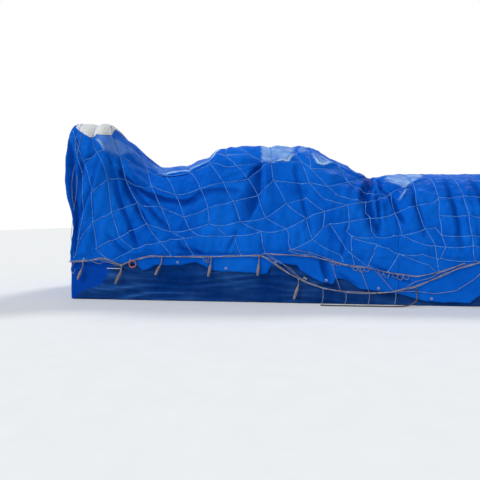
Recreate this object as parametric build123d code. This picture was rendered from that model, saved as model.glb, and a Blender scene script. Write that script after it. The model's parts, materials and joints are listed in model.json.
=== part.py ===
from build123d import *
import os
from math import cos, sin, pi

# A steam turbine generator set, stored in the open under lashed sheets.
# X runs along the set, from the steam end (-X) to the generator end (+X).
# The side with the tidy hem and the rope tails is -Y, and Z is up from the ground.
# The origin is on the ground, under the middle of the set. All sizes are millimetres.

os.makedirs("parts", exist_ok=True)

# Fits
seat_gap = 0.3          # what lies against another piece stands this far off it
sheet_wall = 6.0        # thickness given to a sheet
skirt_wall = 6.0        # thickness given to the skirt

# Base frame
frame_width = 2560.0
frame_margin = 160.0    # from an end of the frame to the first machine on it
frame_height = 690.0
beam_flange = 300.0     # width of a long beam's flanges
beam_flange_wall = 30.0
beam_web = 18.0
cross_beams = 8
cross_width = 200.0
cross_depth = 520.0
cross_wall = 16.0
deck_wall = 14.0
deck_margin = 40.0      # the deck stops this far inside the frame's outline

deck_top = frame_height + deck_wall
half_width = frame_width / 2

# Lifting trunnions on the long beams
trunnion_radius = 60.0
trunnion_flange_radius = 85.0
trunnion_flange_wall = 12.0
trunnion_shy = 2.0      # its outer face stops this far inside the frame's side
trunnion_x = 2450.0
trunnion_z = 360.0

# Turbine
shaft_z = 1800.0        # height of the turbine's shaft
casing_length = 1760.0
casing_high_radius = 560.0
casing_low_radius = 800.0
casing_step = 520.0     # length of the high-pressure barrel
casing_cone = 180.0     # from the one barrel's radius to the other's
branch_radius = 150.0   # flanged branch that takes the steam pipe
branch_reach = 640.0
joint_flange_width = 90.0
joint_flange_wall = 110.0
casing_foot_width = 420.0
casing_foot_length = 260.0
casing_foot_inset = 140.0   # from the end of the cone to the first pair of feet

# Front pedestal
pedestal_length = 640.0
pedestal_gap = 100.0    # between the pedestal and the casing
pedestal_width = 900.0
pedestal_cap_radius = 330.0
pedestal_cap_inset = 40.0
shaft_radius = 150.0

# Steam chest and its two valve stands
chest_y = -850.0
chest_z = 1500.0
chest_radius = 200.0
chest_length = 710.0
chest_overhang = 90.0   # the chest starts this far before the pedestal
chest_flange_radius = 250.0
chest_flange_wall = 50.0
chest_foot_length = 120.0
chest_foot_width = 180.0
chest_foot_inset = 60.0     # from an end flange to the foot beside it
inlet_radius = 110.0
inlet_bend = 154.0
valve_inset = 120.0     # from the chest's end to its first valve
valve_pitch = 290.0
bonnet_seat = 60.0      # bosses on the chest, under the bonnets
bonnet_rim = 30.0       # a boss is this much wider than its bonnet
bonnet_radius = 130.0
bonnet_height = 180.0
yoke_height = 420.0
yoke_post_radius = 24.0
yoke_post_offset = 85.0
yoke_plate = 30.0
spindle_radius = 18.0
actuator_radius = 105.0
actuator_height = 780.0
actuator_cap_radius = 62.0
actuator_cap_height = 60.0
eye_radius = 26.0
eye_height = 155.0      # lifting eye over an actuator

# Exhaust hood
hood_length = 1970.0
hood_side = 240.0       # the hood's side stands this far inside the frame's
hood_wall_rib = 60.0
hood_rib_height = 30.0
hood_ribs = 4

# Lifting lugs, as every upper half has
lug_length = 150.0
lug_wall = 50.0
casing_lug_rise = 28.0      # how far a lug stands over what it lifts
hood_lug_rise = 135.0
gear_lug_rise = 105.0
generator_lug_rise = 110.0

# Gearbox
hood_to_gear = 330.0    # room for the first coupling
gear_length = 700.0
gear_width = 1500.0
gear_split_z = 1620.0
gear_top = 2120.0
gear_flange = 60.0
gear_flange_wall = 70.0
gear_slope_height = 260.0   # the upper half's sloping shoulders
gear_slope_width = 380.0

# Generator
generator_z = 1540.0
gear_to_generator = 360.0   # room for the second coupling and the end shield
generator_length = 1740.0
generator_radius = 760.0
generator_ring = 45.0
generator_rings = 6
generator_ring_wall = 40.0
generator_foot_width = 1500.0
generator_foot_length = 260.0
generator_foot_cover = 330.0    # its feet reach up to this far below the shaft
shield_length = 180.0
shield_hub_radius = 260.0
shield_step = 30.0      # the shield's rim stands this far inside the barrel
shield_rim = 60.0
shield_dish = 108.0     # where the dished face meets the hub
shield_hub_foot = 120.0
terminal_box = (700.0, 230.0, 420.0)
terminal_corner = 30.0
exciter_length = 300.0
exciter_radius = 300.0
exciter_chamfer = 60.0
exciter_foot = (140.0, 400.0)

# Coupling guards
guard_radius = 230.0

# Sheets over the machine
hem_clearance = 42.0        # the hem hangs this far outside the frame
hem_drop = 40.0             # and ends this far below its top
section_power = 2.2         # 2 is an ellipse, more is squarer
mesh_size = 430.0           # rope net, one mesh along and across
girth_cells = 14
end_bulge = 150.0           # how far the end curtains belly out
end_clearance = 50.0        # top corners of the cover, outside the frame's end
tower_flat = 30.0           # the cover's tall end reaches this far past the second valve
tower_slope = 740.0
trough_length = 770.0
notch_inset = 180.0         # the cover is lowest this far before the generator
curtain_cells = 6
curtain_inset = 1.7     # the curtain hangs this many walls inside the sheet's edge
white_inset = 70.0      # the bleached sheet over the valves starts this far from the cover's end
white_cells = 2

# Skirt
skirt_foot = 18.0           # its lower edge clears the ground
skirt_rise = 35.0           # its top stands over the frame's
skirt_fold = 13.0           # depth of its long folds
skirt_folds = 5

# Ropes
border_rope = 32.0          # the net's border rope
tail_rope = 44.0
tail_length = 350.0
bend_share = 0.45           # a bend takes this share of the shorter run beside it
fallen_rope = 24.0
net_rope = 18.0
net_sides = 4
net_play = 8.0          # the net stands this far off the sheets
net_edge = 1.0          # and ends this far inside the cover's end
weft_drop = 3.0         # ropes along the set cross this far under those that go round it
corner_rise = 25.0      # the border ropes meet at the corners this far over the frame
rope_play = 2.5         # a rope along a side stands off the sheet's flat cells
end_rope_sag = 20.0
end_rope_cells = 6
ring_x = -2990.0
ring_z = 685.0
ring_radius = 62.0
ring_wire = 13.0

# The line of machines along X, from the steam end
frame_length = (2 * frame_margin + pedestal_length + pedestal_gap + casing_length + hood_length + hood_to_gear
                + gear_length + gear_to_generator + generator_length + shield_length + exciter_length)
half_length = frame_length / 2
pedestal_x0 = -half_length + frame_margin
pedestal_x1 = pedestal_x0 + pedestal_length
casing_x0 = pedestal_x1 + pedestal_gap
casing_x1 = casing_x0 + casing_length
hood_x0 = casing_x1     # the casing is bolted to the hood
hood_x1 = hood_x0 + hood_length
gear_x0 = hood_x1 + hood_to_gear
gear_x1 = gear_x0 + gear_length
generator_x0 = gear_x1 + gear_to_generator
generator_x1 = generator_x0 + generator_length
chest_x0 = pedestal_x0 - chest_overhang
chest_x1 = chest_x0 + chest_length
valve_xs = (chest_x0 + valve_inset, chest_x0 + valve_inset + valve_pitch)

# Heights that follow
hood_radius = half_width - hood_side
casing_lug_top = shaft_z + casing_low_radius + casing_lug_rise
hood_lug_top = shaft_z + hood_radius + hood_lug_rise
gear_lug_top = gear_top + gear_lug_rise
generator_lug_top = generator_z + generator_radius + generator_lug_rise
bonnet_foot = chest_z + chest_radius + bonnet_seat
actuator_foot = bonnet_foot + bonnet_height + yoke_height + yoke_plate
tower_top = actuator_foot + actuator_height + actuator_cap_height + eye_height
hem_height = frame_height - hem_drop
skirt_top = frame_height + skirt_rise
corner_z = frame_height + corner_rise

# The cover's breaks along X, each over the piece that lifts it
hem_half_width = half_width + hem_clearance
end_x = half_length + end_clearance
tower_right = valve_xs[1] + tower_flat
trough_left = tower_right + tower_slope
trough_right = trough_left + trough_length
notch_x = generator_x0 - notch_inset
white_x0 = -end_x + white_inset
white_x1 = tower_right


def save(name, solids):
    """Write one node, of one or more solids, to its own file."""
    shape = solids[0] if len(solids) == 1 else Compound(children=list(solids))
    export_step(shape, f"parts/{name}.step")


def block(x0, x1, y0, y1, z0, z1):
    """A box from its lowest to its highest corner."""
    box = Box(x1 - x0, y1 - y0, z1 - z0)
    return Pos((x0 + x1) / 2, (y0 + y1) / 2, (z0 + z1) / 2) * box


def rod(x0, x1, y, z, radius):
    """A round bar along X."""
    bar = Cylinder(radius, x1 - x0, rotation=(0, 90, 0))
    return Pos((x0 + x1) / 2, y, z) * bar


def post(x, y, z0, z1, radius):
    """A round bar standing along Z."""
    return Pos(x, y, (z0 + z1) / 2) * Cylinder(radius, z1 - z0)


def turned(outline, y, z):
    """Revolve an outline of (x, radius) points about an axis along X."""
    closed = [(outline[0][0], 0.0)] + outline + [(outline[-1][0], 0.0)]
    face = make_face(Polyline(*closed, close=True))
    return Pos(0, y, z) * revolve(face, axis=Axis.X)


def lug(x, z_root, z_top):
    """A lifting lug on the centre line, with its eye."""
    plate = block(x - lug_length / 2, x + lug_length / 2, -lug_wall / 2, lug_wall / 2, z_root, z_top)
    eye = Pos(x, 0, z_top - lug_length / 4) * Cylinder(lug_length / 8, lug_wall * 2, rotation=(90, 0, 0))
    return plate - eye


# Base frame
def long_beam(side):
    """One I-beam along the set, on the -Y (-1) or +Y (+1) side."""
    middle = side * (half_width - beam_flange / 2)
    y0, y1 = middle - beam_flange / 2, middle + beam_flange / 2
    foot = block(-half_length, half_length, y0, y1, 0, beam_flange_wall)
    head = block(-half_length, half_length, y0, y1, frame_height - beam_flange_wall, frame_height)
    web = block(-half_length, half_length, middle - beam_web / 2, middle + beam_web / 2, 0, frame_height)
    return foot + head + web


def cross_beam(x):
    """One box-section beam, coped under the long beams' upper flanges, its ends against their webs."""
    flange_edge = half_width - beam_flange
    web_face = half_width - beam_flange / 2 - beam_web / 2
    x0, x1 = x - cross_width / 2, x + cross_width / 2
    z0 = frame_height - cross_depth
    cope_z = frame_height - beam_flange_wall
    body = block(x0, x1, -flange_edge, flange_edge, z0, frame_height)
    body += block(x0, x1, -web_face, web_face, z0, cope_z)
    hollow = block(x0 + cross_wall, x1 - cross_wall, -web_face, web_face, z0 + cross_wall, cope_z - cross_wall)
    return body - hollow


def all_cross_beams():
    pitch = (frame_length - cross_width) / (cross_beams - 1)
    return [cross_beam(-half_length + cross_width / 2 + i * pitch) for i in range(cross_beams)]


def trunnions():
    """Four lifting trunnions, welded to the webs of the long beams."""
    web_face = half_width - beam_flange / 2 + beam_web / 2
    reach = half_width - web_face - trunnion_shy
    made = []
    for x in (-trunnion_x, trunnion_x):
        for side in (-1, 1):
            y0 = side * web_face
            stub = Cylinder(trunnion_radius, reach, rotation=(90, 0, 0))
            stub = Pos(x, y0 + side * reach / 2, trunnion_z) * stub
            rim = Cylinder(trunnion_flange_radius, trunnion_flange_wall, rotation=(90, 0, 0))
            rim = Pos(x, y0 + side * (reach - trunnion_flange_wall / 2), trunnion_z) * rim
            made.append(stub + rim)
    return made


# Turbine
step_x = casing_x0 + casing_step
cone_x = step_x + casing_cone / 2
inlet_x = (casing_x0 + step_x) / 2


def casing_body():
    return turned([(casing_x0, casing_high_radius), (step_x, casing_high_radius),
                   (step_x + casing_cone, casing_low_radius), (casing_x1, casing_low_radius)], 0, shaft_z)


def joint_flange(z0, z1):
    """The bolted joint round the casing, following its two barrels."""
    wide = casing_low_radius + joint_flange_width
    narrow = casing_high_radius + joint_flange_width
    return (block(cone_x, casing_x1, -wide, wide, z0, z1)
            + block(casing_x0, cone_x, -narrow, narrow, z0, z1))


big = frame_length + frame_width
above = block(-big, big, -big, big, shaft_z, big)
below = block(-big, big, -big, big, -big, shaft_z)


def turbine_casing_lower():
    body = (casing_body() & below) + joint_flange(shaft_z - joint_flange_wall, shaft_z)
    foot_y = casing_low_radius - casing_foot_width
    for x in (step_x + casing_cone + casing_foot_inset, casing_x1 - casing_foot_length):
        for side in (-1, 1):
            y0, y1 = sorted((side * foot_y, side * casing_low_radius))
            body += block(x, x + casing_foot_length, y0, y1, deck_top, shaft_z - joint_flange_wall)
    branch = Cylinder(branch_radius, branch_reach - casing_high_radius / 2, rotation=(90, 0, 0))
    return body + Pos(inlet_x, -(branch_reach + casing_high_radius / 2) / 2, chest_z) * branch


def turbine_casing_upper():
    body = (casing_body() & above) + joint_flange(shaft_z, shaft_z + joint_flange_wall)
    for x in (trough_left + lug_length, trough_right - lug_length):
        body += lug(x, shaft_z + casing_high_radius - lug_wall, casing_lug_top)
    return body


def front_pedestal():
    """The bearing housing that stands at the steam end, with its rounded cap."""
    half = pedestal_width / 2
    body = block(pedestal_x0, pedestal_x1, -half, half, deck_top, shaft_z)
    cap_x1 = pedestal_x1 - pedestal_cap_inset
    cap = rod(pedestal_x0 + pedestal_cap_inset, cap_x1, 0, shaft_z, pedestal_cap_radius)
    return body + cap + rod(cap_x1, casing_x0, 0, shaft_z, shaft_radius)


def steam_chest():
    """The chest lies beside the pedestal, with end flanges, feet and a pipe to the casing."""
    chest = rod(chest_x0, chest_x1, chest_y, chest_z, chest_radius)
    for x in (chest_x0, chest_x1 - chest_flange_wall):
        chest += rod(x, x + chest_flange_wall, chest_y, chest_z, chest_flange_radius)
    inset = chest_flange_wall + chest_foot_inset
    half = chest_foot_width / 2
    for x in (chest_x0 + inset, chest_x1 - inset - chest_foot_length):
        chest += block(x, x + chest_foot_length, chest_y - half, chest_y + half, deck_top, chest_z)
    for x in valve_xs:
        chest += post(x, chest_y, chest_z, bonnet_foot, bonnet_radius + bonnet_rim)
    return chest


def steam_pipe():
    """From the chest's end flange the pipe turns in to the high-pressure barrel."""
    start = (chest_x1, chest_y, chest_z)
    path = FilletPolyline(start, (inlet_x, chest_y, chest_z), (inlet_x, -branch_reach, chest_z),
                          radius=inlet_bend)
    return sweep(Plane(origin=start, z_dir=(1, 0, 0)) * Circle(inlet_radius), path=path)


def valve_stand(x):
    """Bonnet, four yoke posts and the plate that carries the actuator."""
    z0 = bonnet_foot + bonnet_height
    z1 = z0 + yoke_height
    stand = post(x, chest_y, bonnet_foot, z0, bonnet_radius)
    for dx in (-1, 1):
        for dy in (-1, 1):
            stand += post(x + dx * yoke_post_offset, chest_y + dy * yoke_post_offset, z0, z1, yoke_post_radius)
    stand += post(x, chest_y, z0, z1, spindle_radius)
    return stand + post(x, chest_y, z1, z1 + yoke_plate, bonnet_radius)


def actuator(x):
    """The cylinder over the valve, with a stepped cap and a lifting eye."""
    body_top = actuator_foot + actuator_height
    body = post(x, chest_y, actuator_foot, body_top, actuator_radius)
    cap_top = body_top + actuator_cap_height
    cap = post(x, chest_y, body_top, cap_top, actuator_cap_radius)
    eye = post(x, chest_y, cap_top, tower_top, eye_radius)
    return body + cap + eye


# Exhaust hood
def exhaust_hood():
    """A box below the shaft and a rounded top, stiffened by ribs, with two lugs."""
    hood = block(hood_x0, hood_x1, -hood_radius, hood_radius, deck_top, shaft_z)
    hood += rod(hood_x0, hood_x1, 0, shaft_z, hood_radius) & above
    pitch = (hood_x1 - hood_x0 - hood_wall_rib) / (hood_ribs - 1)
    for i in range(hood_ribs):
        x = hood_x0 + i * pitch
        hood += rod(x, x + hood_wall_rib, 0, shaft_z, hood_radius + hood_rib_height) & above
    for x in (hood_x0 + lug_length, hood_x1 - lug_length):
        hood += lug(x, shaft_z + hood_radius - lug_wall, hood_lug_top)
    return hood


# Gearbox
def gearbox_lower():
    half = gear_width / 2
    body = block(gear_x0, gear_x1, -half, half, deck_top, gear_split_z)
    body += block(gear_x0 - gear_flange, gear_x1 + gear_flange, -half - gear_flange, half + gear_flange,
                  gear_split_z - gear_flange_wall, gear_split_z)
    body += block(gear_x0 - gear_flange, gear_x1 + gear_flange, -half - gear_flange, half + gear_flange,
                  deck_top, deck_top + gear_flange_wall)
    return body


def gearbox_upper():
    half = gear_width / 2
    shoulder = gear_top - gear_slope_height
    crown = half - gear_slope_width
    outline = Polyline((-half, gear_split_z), (half, gear_split_z), (half, shoulder), (crown, gear_top),
                       (-crown, gear_top), (-half, shoulder), close=True)
    body = Plane(origin=(gear_x0, 0, 0), x_dir=(0, 1, 0), z_dir=(1, 0, 0)) * make_face(outline)
    body = extrude(body, amount=gear_x1 - gear_x0)
    body += block(gear_x0 - gear_flange, gear_x1 + gear_flange, -half - gear_flange, half + gear_flange,
                  gear_split_z, gear_split_z + gear_flange_wall)
    middle = (gear_x0 + gear_x1) / 2
    body += lug(middle, gear_top - lug_wall, gear_lug_top)
    return body


# Generator
def generator_frame():
    """A barrel with stiffening rings on two long feet, with two lugs."""
    body = rod(generator_x0, generator_x1, 0, generator_z, generator_radius)
    pitch = (generator_x1 - generator_x0 - generator_ring_wall) / (generator_rings - 1)
    for i in range(generator_rings):
        x = generator_x0 + i * pitch
        body += rod(x, x + generator_ring_wall, 0, generator_z, generator_radius + generator_ring)
    half = generator_foot_width / 2
    for side in (-1, 1):
        y0, y1 = sorted((side * (half - generator_foot_length), side * half))
        body += block(generator_x0, generator_x1, y0, y1, deck_top, generator_z - generator_foot_cover)
    for x in (generator_x0 + lug_length, generator_x1 - lug_length):
        body += lug(x, generator_z + generator_radius - lug_wall, generator_lug_top)
    return body


def end_shields():
    """Dished covers that close the generator's two ends and carry its bearings."""
    made = []
    for x, way in ((generator_x0, -1), (generator_x1, 1)):
        rim = generator_radius - shield_step
        outline = [(x, rim), (x + way * shield_rim, rim),
                   (x + way * shield_dish, shield_hub_radius + shield_hub_foot),
                   (x + way * shield_dish, shield_hub_radius), (x + way * shield_length, shield_hub_radius)]
        made.append(turned(outline if way > 0 else outline[::-1], 0, generator_z))
    return made


def generator_terminal_box():
    length, depth, height = terminal_box
    x = (generator_x0 + generator_x1) / 2
    y0 = generator_radius + generator_ring
    box = Pos(x, y0 + depth / 2, generator_z) * Box(length, depth, height)
    return fillet(box.edges().filter_by(Axis.Y), terminal_corner)


def exciter():
    x0 = generator_x1 + shield_length
    x1 = x0 + exciter_length
    outline = [(x0, exciter_radius), (x1 - exciter_chamfer, exciter_radius),
               (x1, exciter_radius - exciter_chamfer)]
    length, width = exciter_foot
    foot_x0 = (x0 + x1 - length) / 2
    foot = block(foot_x0, foot_x0 + length, -width / 2, width / 2, deck_top, generator_z - exciter_radius / 2)
    return turned(outline, 0, generator_z) + foot


def coupling_guards():
    """Rounded guards on legs over the shafts, before and behind the gearbox."""
    made = []
    for x0, x1, z in ((hood_x1, gear_x0 - gear_flange, shaft_z),
                      (gear_x1 + gear_flange, generator_x0 - shield_length, generator_z)):
        guard = rod(x0, x1, 0, z, guard_radius)
        made.append(guard + block(x0, x1, -guard_radius, guard_radius, deck_top, z))
    return made


# Sheets
def girth(i):
    """How far out (0 to 1) and how high (0 to 1) point i stands on a quarter of the superellipse."""
    angle = pi * i / girth_cells
    return abs(cos(angle)) ** (2 / section_power), max(0.0, sin(angle)) ** (2 / section_power)


def ridge_over(top, half_top, ridge_y=0.0):
    """Ridge height for which the sheet clears a flat top of this half width."""
    out, up = girth(girth_cells // 2 - 1)
    slope = (1 - up) * (top - hem_height) / (out * (hem_half_width - abs(ridge_y)))
    return top + half_top * slope + (seat_gap + sheet_wall) * (1 + slope * slope) ** 0.5


def heights():
    """Where the cover breaks along X: (x, ridge y, ridge z), each over the piece that lifts it."""
    tower = ridge_over(tower_top, eye_radius, chest_y)
    casing = ridge_over(casing_lug_top, lug_wall / 2)
    hood = ridge_over(hood_lug_top, lug_wall / 2)
    notch = ridge_over(gear_lug_top, lug_wall / 2)
    generator = ridge_over(generator_lug_top, lug_wall / 2)
    return [(-end_x, chest_y, tower),
            (tower_right, chest_y, tower),
            (trough_left, 0.0, casing),
            (trough_right, 0.0, casing),
            (hood_x0, 0.0, hood),
            (hood_x1, 0.0, hood),
            (notch_x, 0.0, notch),
            (generator_x0, 0.0, generator),
            (end_x, 0.0, generator)]


def stations(x0, x1):
    """Break points between x0 and x1, with the spans between them cut to about one mesh."""
    breaks = [h for h in heights() if x0 < h[0] < x1]
    marks = [at_x(x0)] + breaks + [at_x(x1)]
    found = [marks[0]]
    for a, b in zip(marks, marks[1:]):
        cells = max(1, round((b[0] - a[0]) / mesh_size))
        for i in range(1, cells + 1):
            found.append(tuple(p + (q - p) * i / cells for p, q in zip(a, b)))
    return found


def at_x(x):
    """The cover's ridge at x, straight between the break points."""
    marks = heights()
    for a, b in zip(marks, marks[1:]):
        if a[0] <= x <= b[0]:
            share = (x - a[0]) / (b[0] - a[0])
            return tuple(p + (q - p) * share for p, q in zip(a, b))
    return marks[-1]


def section(station, lift=0.0):
    """Points round the cover from the -Y hem over the ridge to the +Y hem: two quarters of a superellipse."""
    x, ridge_y, ridge_z = station
    points = []
    for i in range(girth_cells + 1):
        along = -1 if 2 * i < girth_cells else 1
        out, up = girth(i)
        reach = hem_half_width + lift - along * ridge_y
        bulge = end_bulge * sin(pi * min(1.0, up)) if abs(x) >= end_x else 0.0
        points.append(Vector(x + (bulge if x > 0 else -bulge), ridge_y + along * reach * out,
                             hem_height + (ridge_z + lift - hem_height) * up))
    return points


def thin_solid(grid, wall, square_ends=False):
    """A closed thin solid of flat triangles: the grid is its outer skin, and the inner skin is one wall in.
    With square ends the first and last rows are cut square to X, to meet the next sheet face to face."""
    rows, columns = len(grid), len(grid[0])

    def normal(i, j):
        along = grid[min(i + 1, rows - 1)][j] - grid[max(i - 1, 0)][j]
        across = grid[i][min(j + 1, columns - 1)] - grid[i][max(j - 1, 0)]
        out = along.cross(across)
        if square_ends and i in (0, rows - 1):
            out = Vector(0, out.Y, out.Z)
        return out.normalized()

    inner = [[grid[i][j] - normal(i, j) * wall for j in range(columns)] for i in range(rows)]
    faces = []

    def patch(a, b, c, d):
        for corners in ((a, b, c), (a, c, d)):
            faces.append(Face(Wire.make_polygon(corners)))

    for i in range(rows - 1):
        for j in range(columns - 1):
            patch(grid[i][j], grid[i][j + 1], grid[i + 1][j + 1], grid[i + 1][j])
            patch(inner[i][j], inner[i][j + 1], inner[i + 1][j + 1], inner[i + 1][j])
    for j in range(columns - 1):
        for i in (0, rows - 1):
            patch(grid[i][j], grid[i][j + 1], inner[i][j + 1], inner[i][j])
    for i in range(rows - 1):
        for j in (0, columns - 1):
            patch(grid[i][j], grid[i + 1][j], inner[i + 1][j], inner[i][j])
    return Solid(Shell(faces)).fix()


def cover_sheet(x0, x1, lift=0.0):
    return thin_solid([section(station, lift) for station in stations(x0, x1)], sheet_wall, square_ends=True)


def end_curtain(side):
    """The curtain that closes an end, strung between the two halves of the end section, inside the sheet."""
    edge = section(at_x(side * end_x), lift=-(sheet_wall * curtain_inset + seat_gap))
    grid = []
    for k in range(girth_cells // 2):
        a, b = edge[k], edge[girth_cells - k]
        grid.append([a + (b - a) * (j / curtain_cells) for j in range(curtain_cells + 1)])
    if side > 0:
        grid = grid[::-1]
    return thin_solid(grid, sheet_wall)


def white_sheet():
    """The bleached sheet over the valves: it lies on the cover from the ridge down the far side."""
    rows = [section(station, sheet_wall + seat_gap) for station in stations(white_x0, white_x1)]
    ridge = girth_cells // 2
    return thin_solid([row[ridge:ridge + white_cells + 1] for row in rows], sheet_wall)


# Skirt
def skirt_panel():
    """A hanging panel's section: its outer line goes in and out in long folds."""
    height = skirt_top - skirt_foot
    outer = []
    for i in range(2 * skirt_folds + 1):
        out = skirt_fold if i % 2 else 0.0
        outer.append((out, skirt_foot + height * i / (2 * skirt_folds)))
    inner = [(out - skirt_wall, z) for out, z in outer[::-1]]
    return outer + inner


skirt_base_y = half_width + seat_gap + skirt_wall
skirt_base_x = half_length + seat_gap + skirt_wall


def side_skirt(side):
    """The panel along the -Y (-1) or +Y (+1) side."""
    line = [(side * (skirt_base_y + out), z) for out, z in skirt_panel()]
    reach = skirt_base_x + skirt_fold
    face = make_face(Polyline(*line, close=True))
    plane = Plane(origin=(-reach, 0, 0), x_dir=(0, 1, 0), z_dir=(1, 0, 0))
    return extrude(plane * face, amount=2 * reach)


def end_skirt(side):
    """The panel across the -X (-1) or +X (+1) end, between the side panels."""
    line = [(side * (skirt_base_x + out), z) for out, z in skirt_panel()]
    face = make_face(Polyline(*line, close=True))
    plane = Plane(origin=(0, half_width, 0), x_dir=(1, 0, 0), z_dir=(0, -1, 0))
    return extrude(plane * face, amount=2 * half_width)


# Ropes
def rope(points, width, sides=6):
    """A rope of flat sides: its section is carried along each run to the mitre at the next point."""
    line = [Vector(p) for p in points]
    runs = [(b - a).normalized() for a, b in zip(line, line[1:])]
    side = runs[0].cross(Vector(0, 0, 1))
    if side.length < 0.1:
        side = runs[0].cross(Vector(0, 1, 0))
    side = side.normalized()
    rise = side.cross(runs[0])
    angles = [2 * pi * k / sides for k in range(sides)]
    ring = [line[0] + side * (width / 2 * cos(a)) + rise * (width / 2 * sin(a)) for a in angles]
    rings = [ring]
    for i, run in enumerate(runs):
        mitre = run if i == len(runs) - 1 else (run + runs[i + 1]).normalized()
        ring = [c + run * ((line[i + 1] - c).dot(mitre) / run.dot(mitre)) for c in ring]
        rings.append(ring)
    faces = [Face(Wire.make_polygon(rings[0])), Face(Wire.make_polygon(rings[-1]))]
    for a, b in zip(rings, rings[1:]):
        for k in range(sides):
            n = (k + 1) % sides
            faces.append(Face(Wire.make_polygon((a[k], a[n], b[n], b[k]))))
    return Solid(Shell(faces)).fix()


def rope_out(x, z, side):
    """How far from the middle a rope lies at (x, z): against the sheet, or hanging below its hem."""
    line = section(at_x(max(-end_x, min(end_x, x))))
    low, high = (line[0], line[1]) if side < 0 else (line[-1], line[-2])
    share = max(0.0, min(1.0, (z - low.Z) / (high.Z - low.Z)))
    return abs(low.Y + (high.Y - low.Y) * share) + rope_play + border_rope / 2


def curtain_out(side, z):
    """How far out along X the end curtain stands at height z, in its lowest cells."""
    line = section(at_x(side * end_x))
    low, high = line[0], line[1]
    return abs(low.X + (high.X - low.X) * (z - low.Z) / (high.Z - low.Z))


corner_x = max(curtain_out(side, corner_z) for side in (-1, 1)) + seat_gap + border_rope / 2

# The net's border rope along the front, as (x, z): level on the hem, then slack and hanging
front_route = [(-corner_x, corner_z), (-3860, 735), (-3540, 780), (-3380, 720), (-3240, 655), (-3000, 745),
               (-2680, 830), (-2100, 824), (-1550, 830), (-1000, 850), (-600, 862), (-350, 700), (-120, 545),
               (180, 395), (530, 275), (900, 225), (1320, 212), (1700, 240), (2050, 330), (2400, 480),
               (2750, 650), (3150, 775), (3650, 805), (corner_x, corner_z)]
# The net's own hem above the slack border rope
upper_route = [(-600, 890.3), (-120, 878), (300, 850), (620, 770), (900, 700), (1250, 705), (1650, 650),
               (2100, 590), (2500, 640), (2900, 755)]
back_route = [(-corner_x, corner_z), (-3400, 830), (-2600, 800), (-1700, 845), (-800, 815), (100, 850),
              (1000, 812), (1900, 842), (2800, 805), (3500, 835), (corner_x, corner_z)]


def side_rope(route, side):
    return rope([(x, side * rope_out(x, z, side), z) for x, z in route], border_rope)


def end_rope(side):
    """Across an end, outside the curtain, a little lower in the middle."""
    front = -rope_out(side * end_x, corner_z, -1) + border_rope / 2 + seat_gap
    back = rope_out(side * end_x, corner_z, 1) - border_rope / 2 - seat_gap
    line = []
    for i in range(end_rope_cells + 1):
        share = i / end_rope_cells
        z = corner_z - end_rope_sag * sin(pi * share)
        x = side * (curtain_out(side, z) + seat_gap + border_rope / 2)
        line.append((x, front + (back - front) * share, z))
    return rope(line, border_rope)


# Rope tails tied to the border rope, as (x of the knot, how far the tail leans along X)
front_tails = [(-3960, -105), (-3210, -120), (-2440, -125), (-1520, -55), (-645, -30), (60, -85)]
back_tails = [(-2550, 60), (-150, -50), (2300, 75)]


def knot_height(route, x, width, way=-1):
    """Height under (-1) or over (1) the border rope at x where a rope of this width can start."""
    for (xa, za), (xb, zb) in zip(route, route[1:]):
        if xa <= x <= xb:
            slope = abs(zb - za) / (xb - xa)
            flat = border_rope / 2 * cos(pi / 6) * (1 + slope * slope) ** 0.5
            return za + (zb - za) * (x - xa) / (xb - xa) + way * (flat + slope * width / 2 + seat_gap)
    return corner_z


def tail_route(x, lean, side, route):
    """Five points down the hanging tail, from under the border rope."""
    z0 = knot_height(route, x, tail_rope)
    y = hem_half_width + tail_rope / 2 + rope_play
    drop = (tail_length ** 2 - lean ** 2) ** 0.5
    shares = ((0.0, 0.0, 0.0), (0.0, 0.24, 0.0), (0.32, 0.50, -1.0), (0.68, 0.76, 4.0), (1.0, 1.0, -1.0))
    return [(x + lean * a, side * (y + c), z0 - drop * b) for a, b, c in shares]


def tube(route, width):
    """A round tube along a route, its bends as large as the runs allow."""
    points = [Vector(p) for p in route]
    radii = []
    for a, b, c in zip(points, points[1:], points[2:]):
        turn = (b - a).get_angle(c - b) * pi / 180
        radii.append(bend_share * min((b - a).length, (c - b).length) / (sin(turn / 2) / cos(turn / 2)))
    path = FilletPolyline(*points, radius=radii)
    start = Plane(origin=path @ 0, z_dir=path % 0)
    made = sweep(start * Circle(width / 2), path=path)
    share = made.volume / (pi * width * width / 4 * path.length)
    print("radii", [round(r) for r in radii], "length", round(path.length), "volume share", round(share, 3))
    return made


# The net's slack edge that slipped to the ground, from the border rope to its bunched end
fallen_x = 2085
fallen_y = -(hem_half_width + rope_play + border_rope / 2)
fallen_z = knot_height(front_route, fallen_x, fallen_rope)
fallen_route = [(fallen_x, fallen_y, fallen_z), (fallen_x, fallen_y, fallen_z - 80), (2100, -1366, 170),
                (2065, -1402, 90), (1965, -1428, 34), (1820, -1450, 13),
                (1620, -1466, 12.5), (1350, -1462, 12.5), (1080, -1474, 12.5), (820, -1466, 12.5),
                (600, -1480, 12.5), (430, -1468, 12.5)]


# The fine net over the sheets: its ropes lie along the sheets' own grid
def net_line(station, drop=0.0):
    """Points round the set for one rope of the net, lifted over the sheets and over the bleached one."""
    over_white = sheet_wall + seat_gap if station[0] < white_x1 + mesh_size else 0.0
    return section(station, net_rope / 2 + net_play + over_white - drop)


def net_end(points, side):
    """Where a rope of the net meets the border rope, or the net's own hem where that hangs above it."""
    low, high = (points[0], points[1]) if side < 0 else (points[-1], points[-2])
    routes = [front_route, upper_route] if side < 0 else [back_route]
    held = [knot_height(r, low.X, net_rope, way=1) for r in routes if r[0][0] <= low.X <= r[-1][0]]
    return low + (high - low) * ((max(held) - low.Z) / (high.Z - low.Z))


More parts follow.
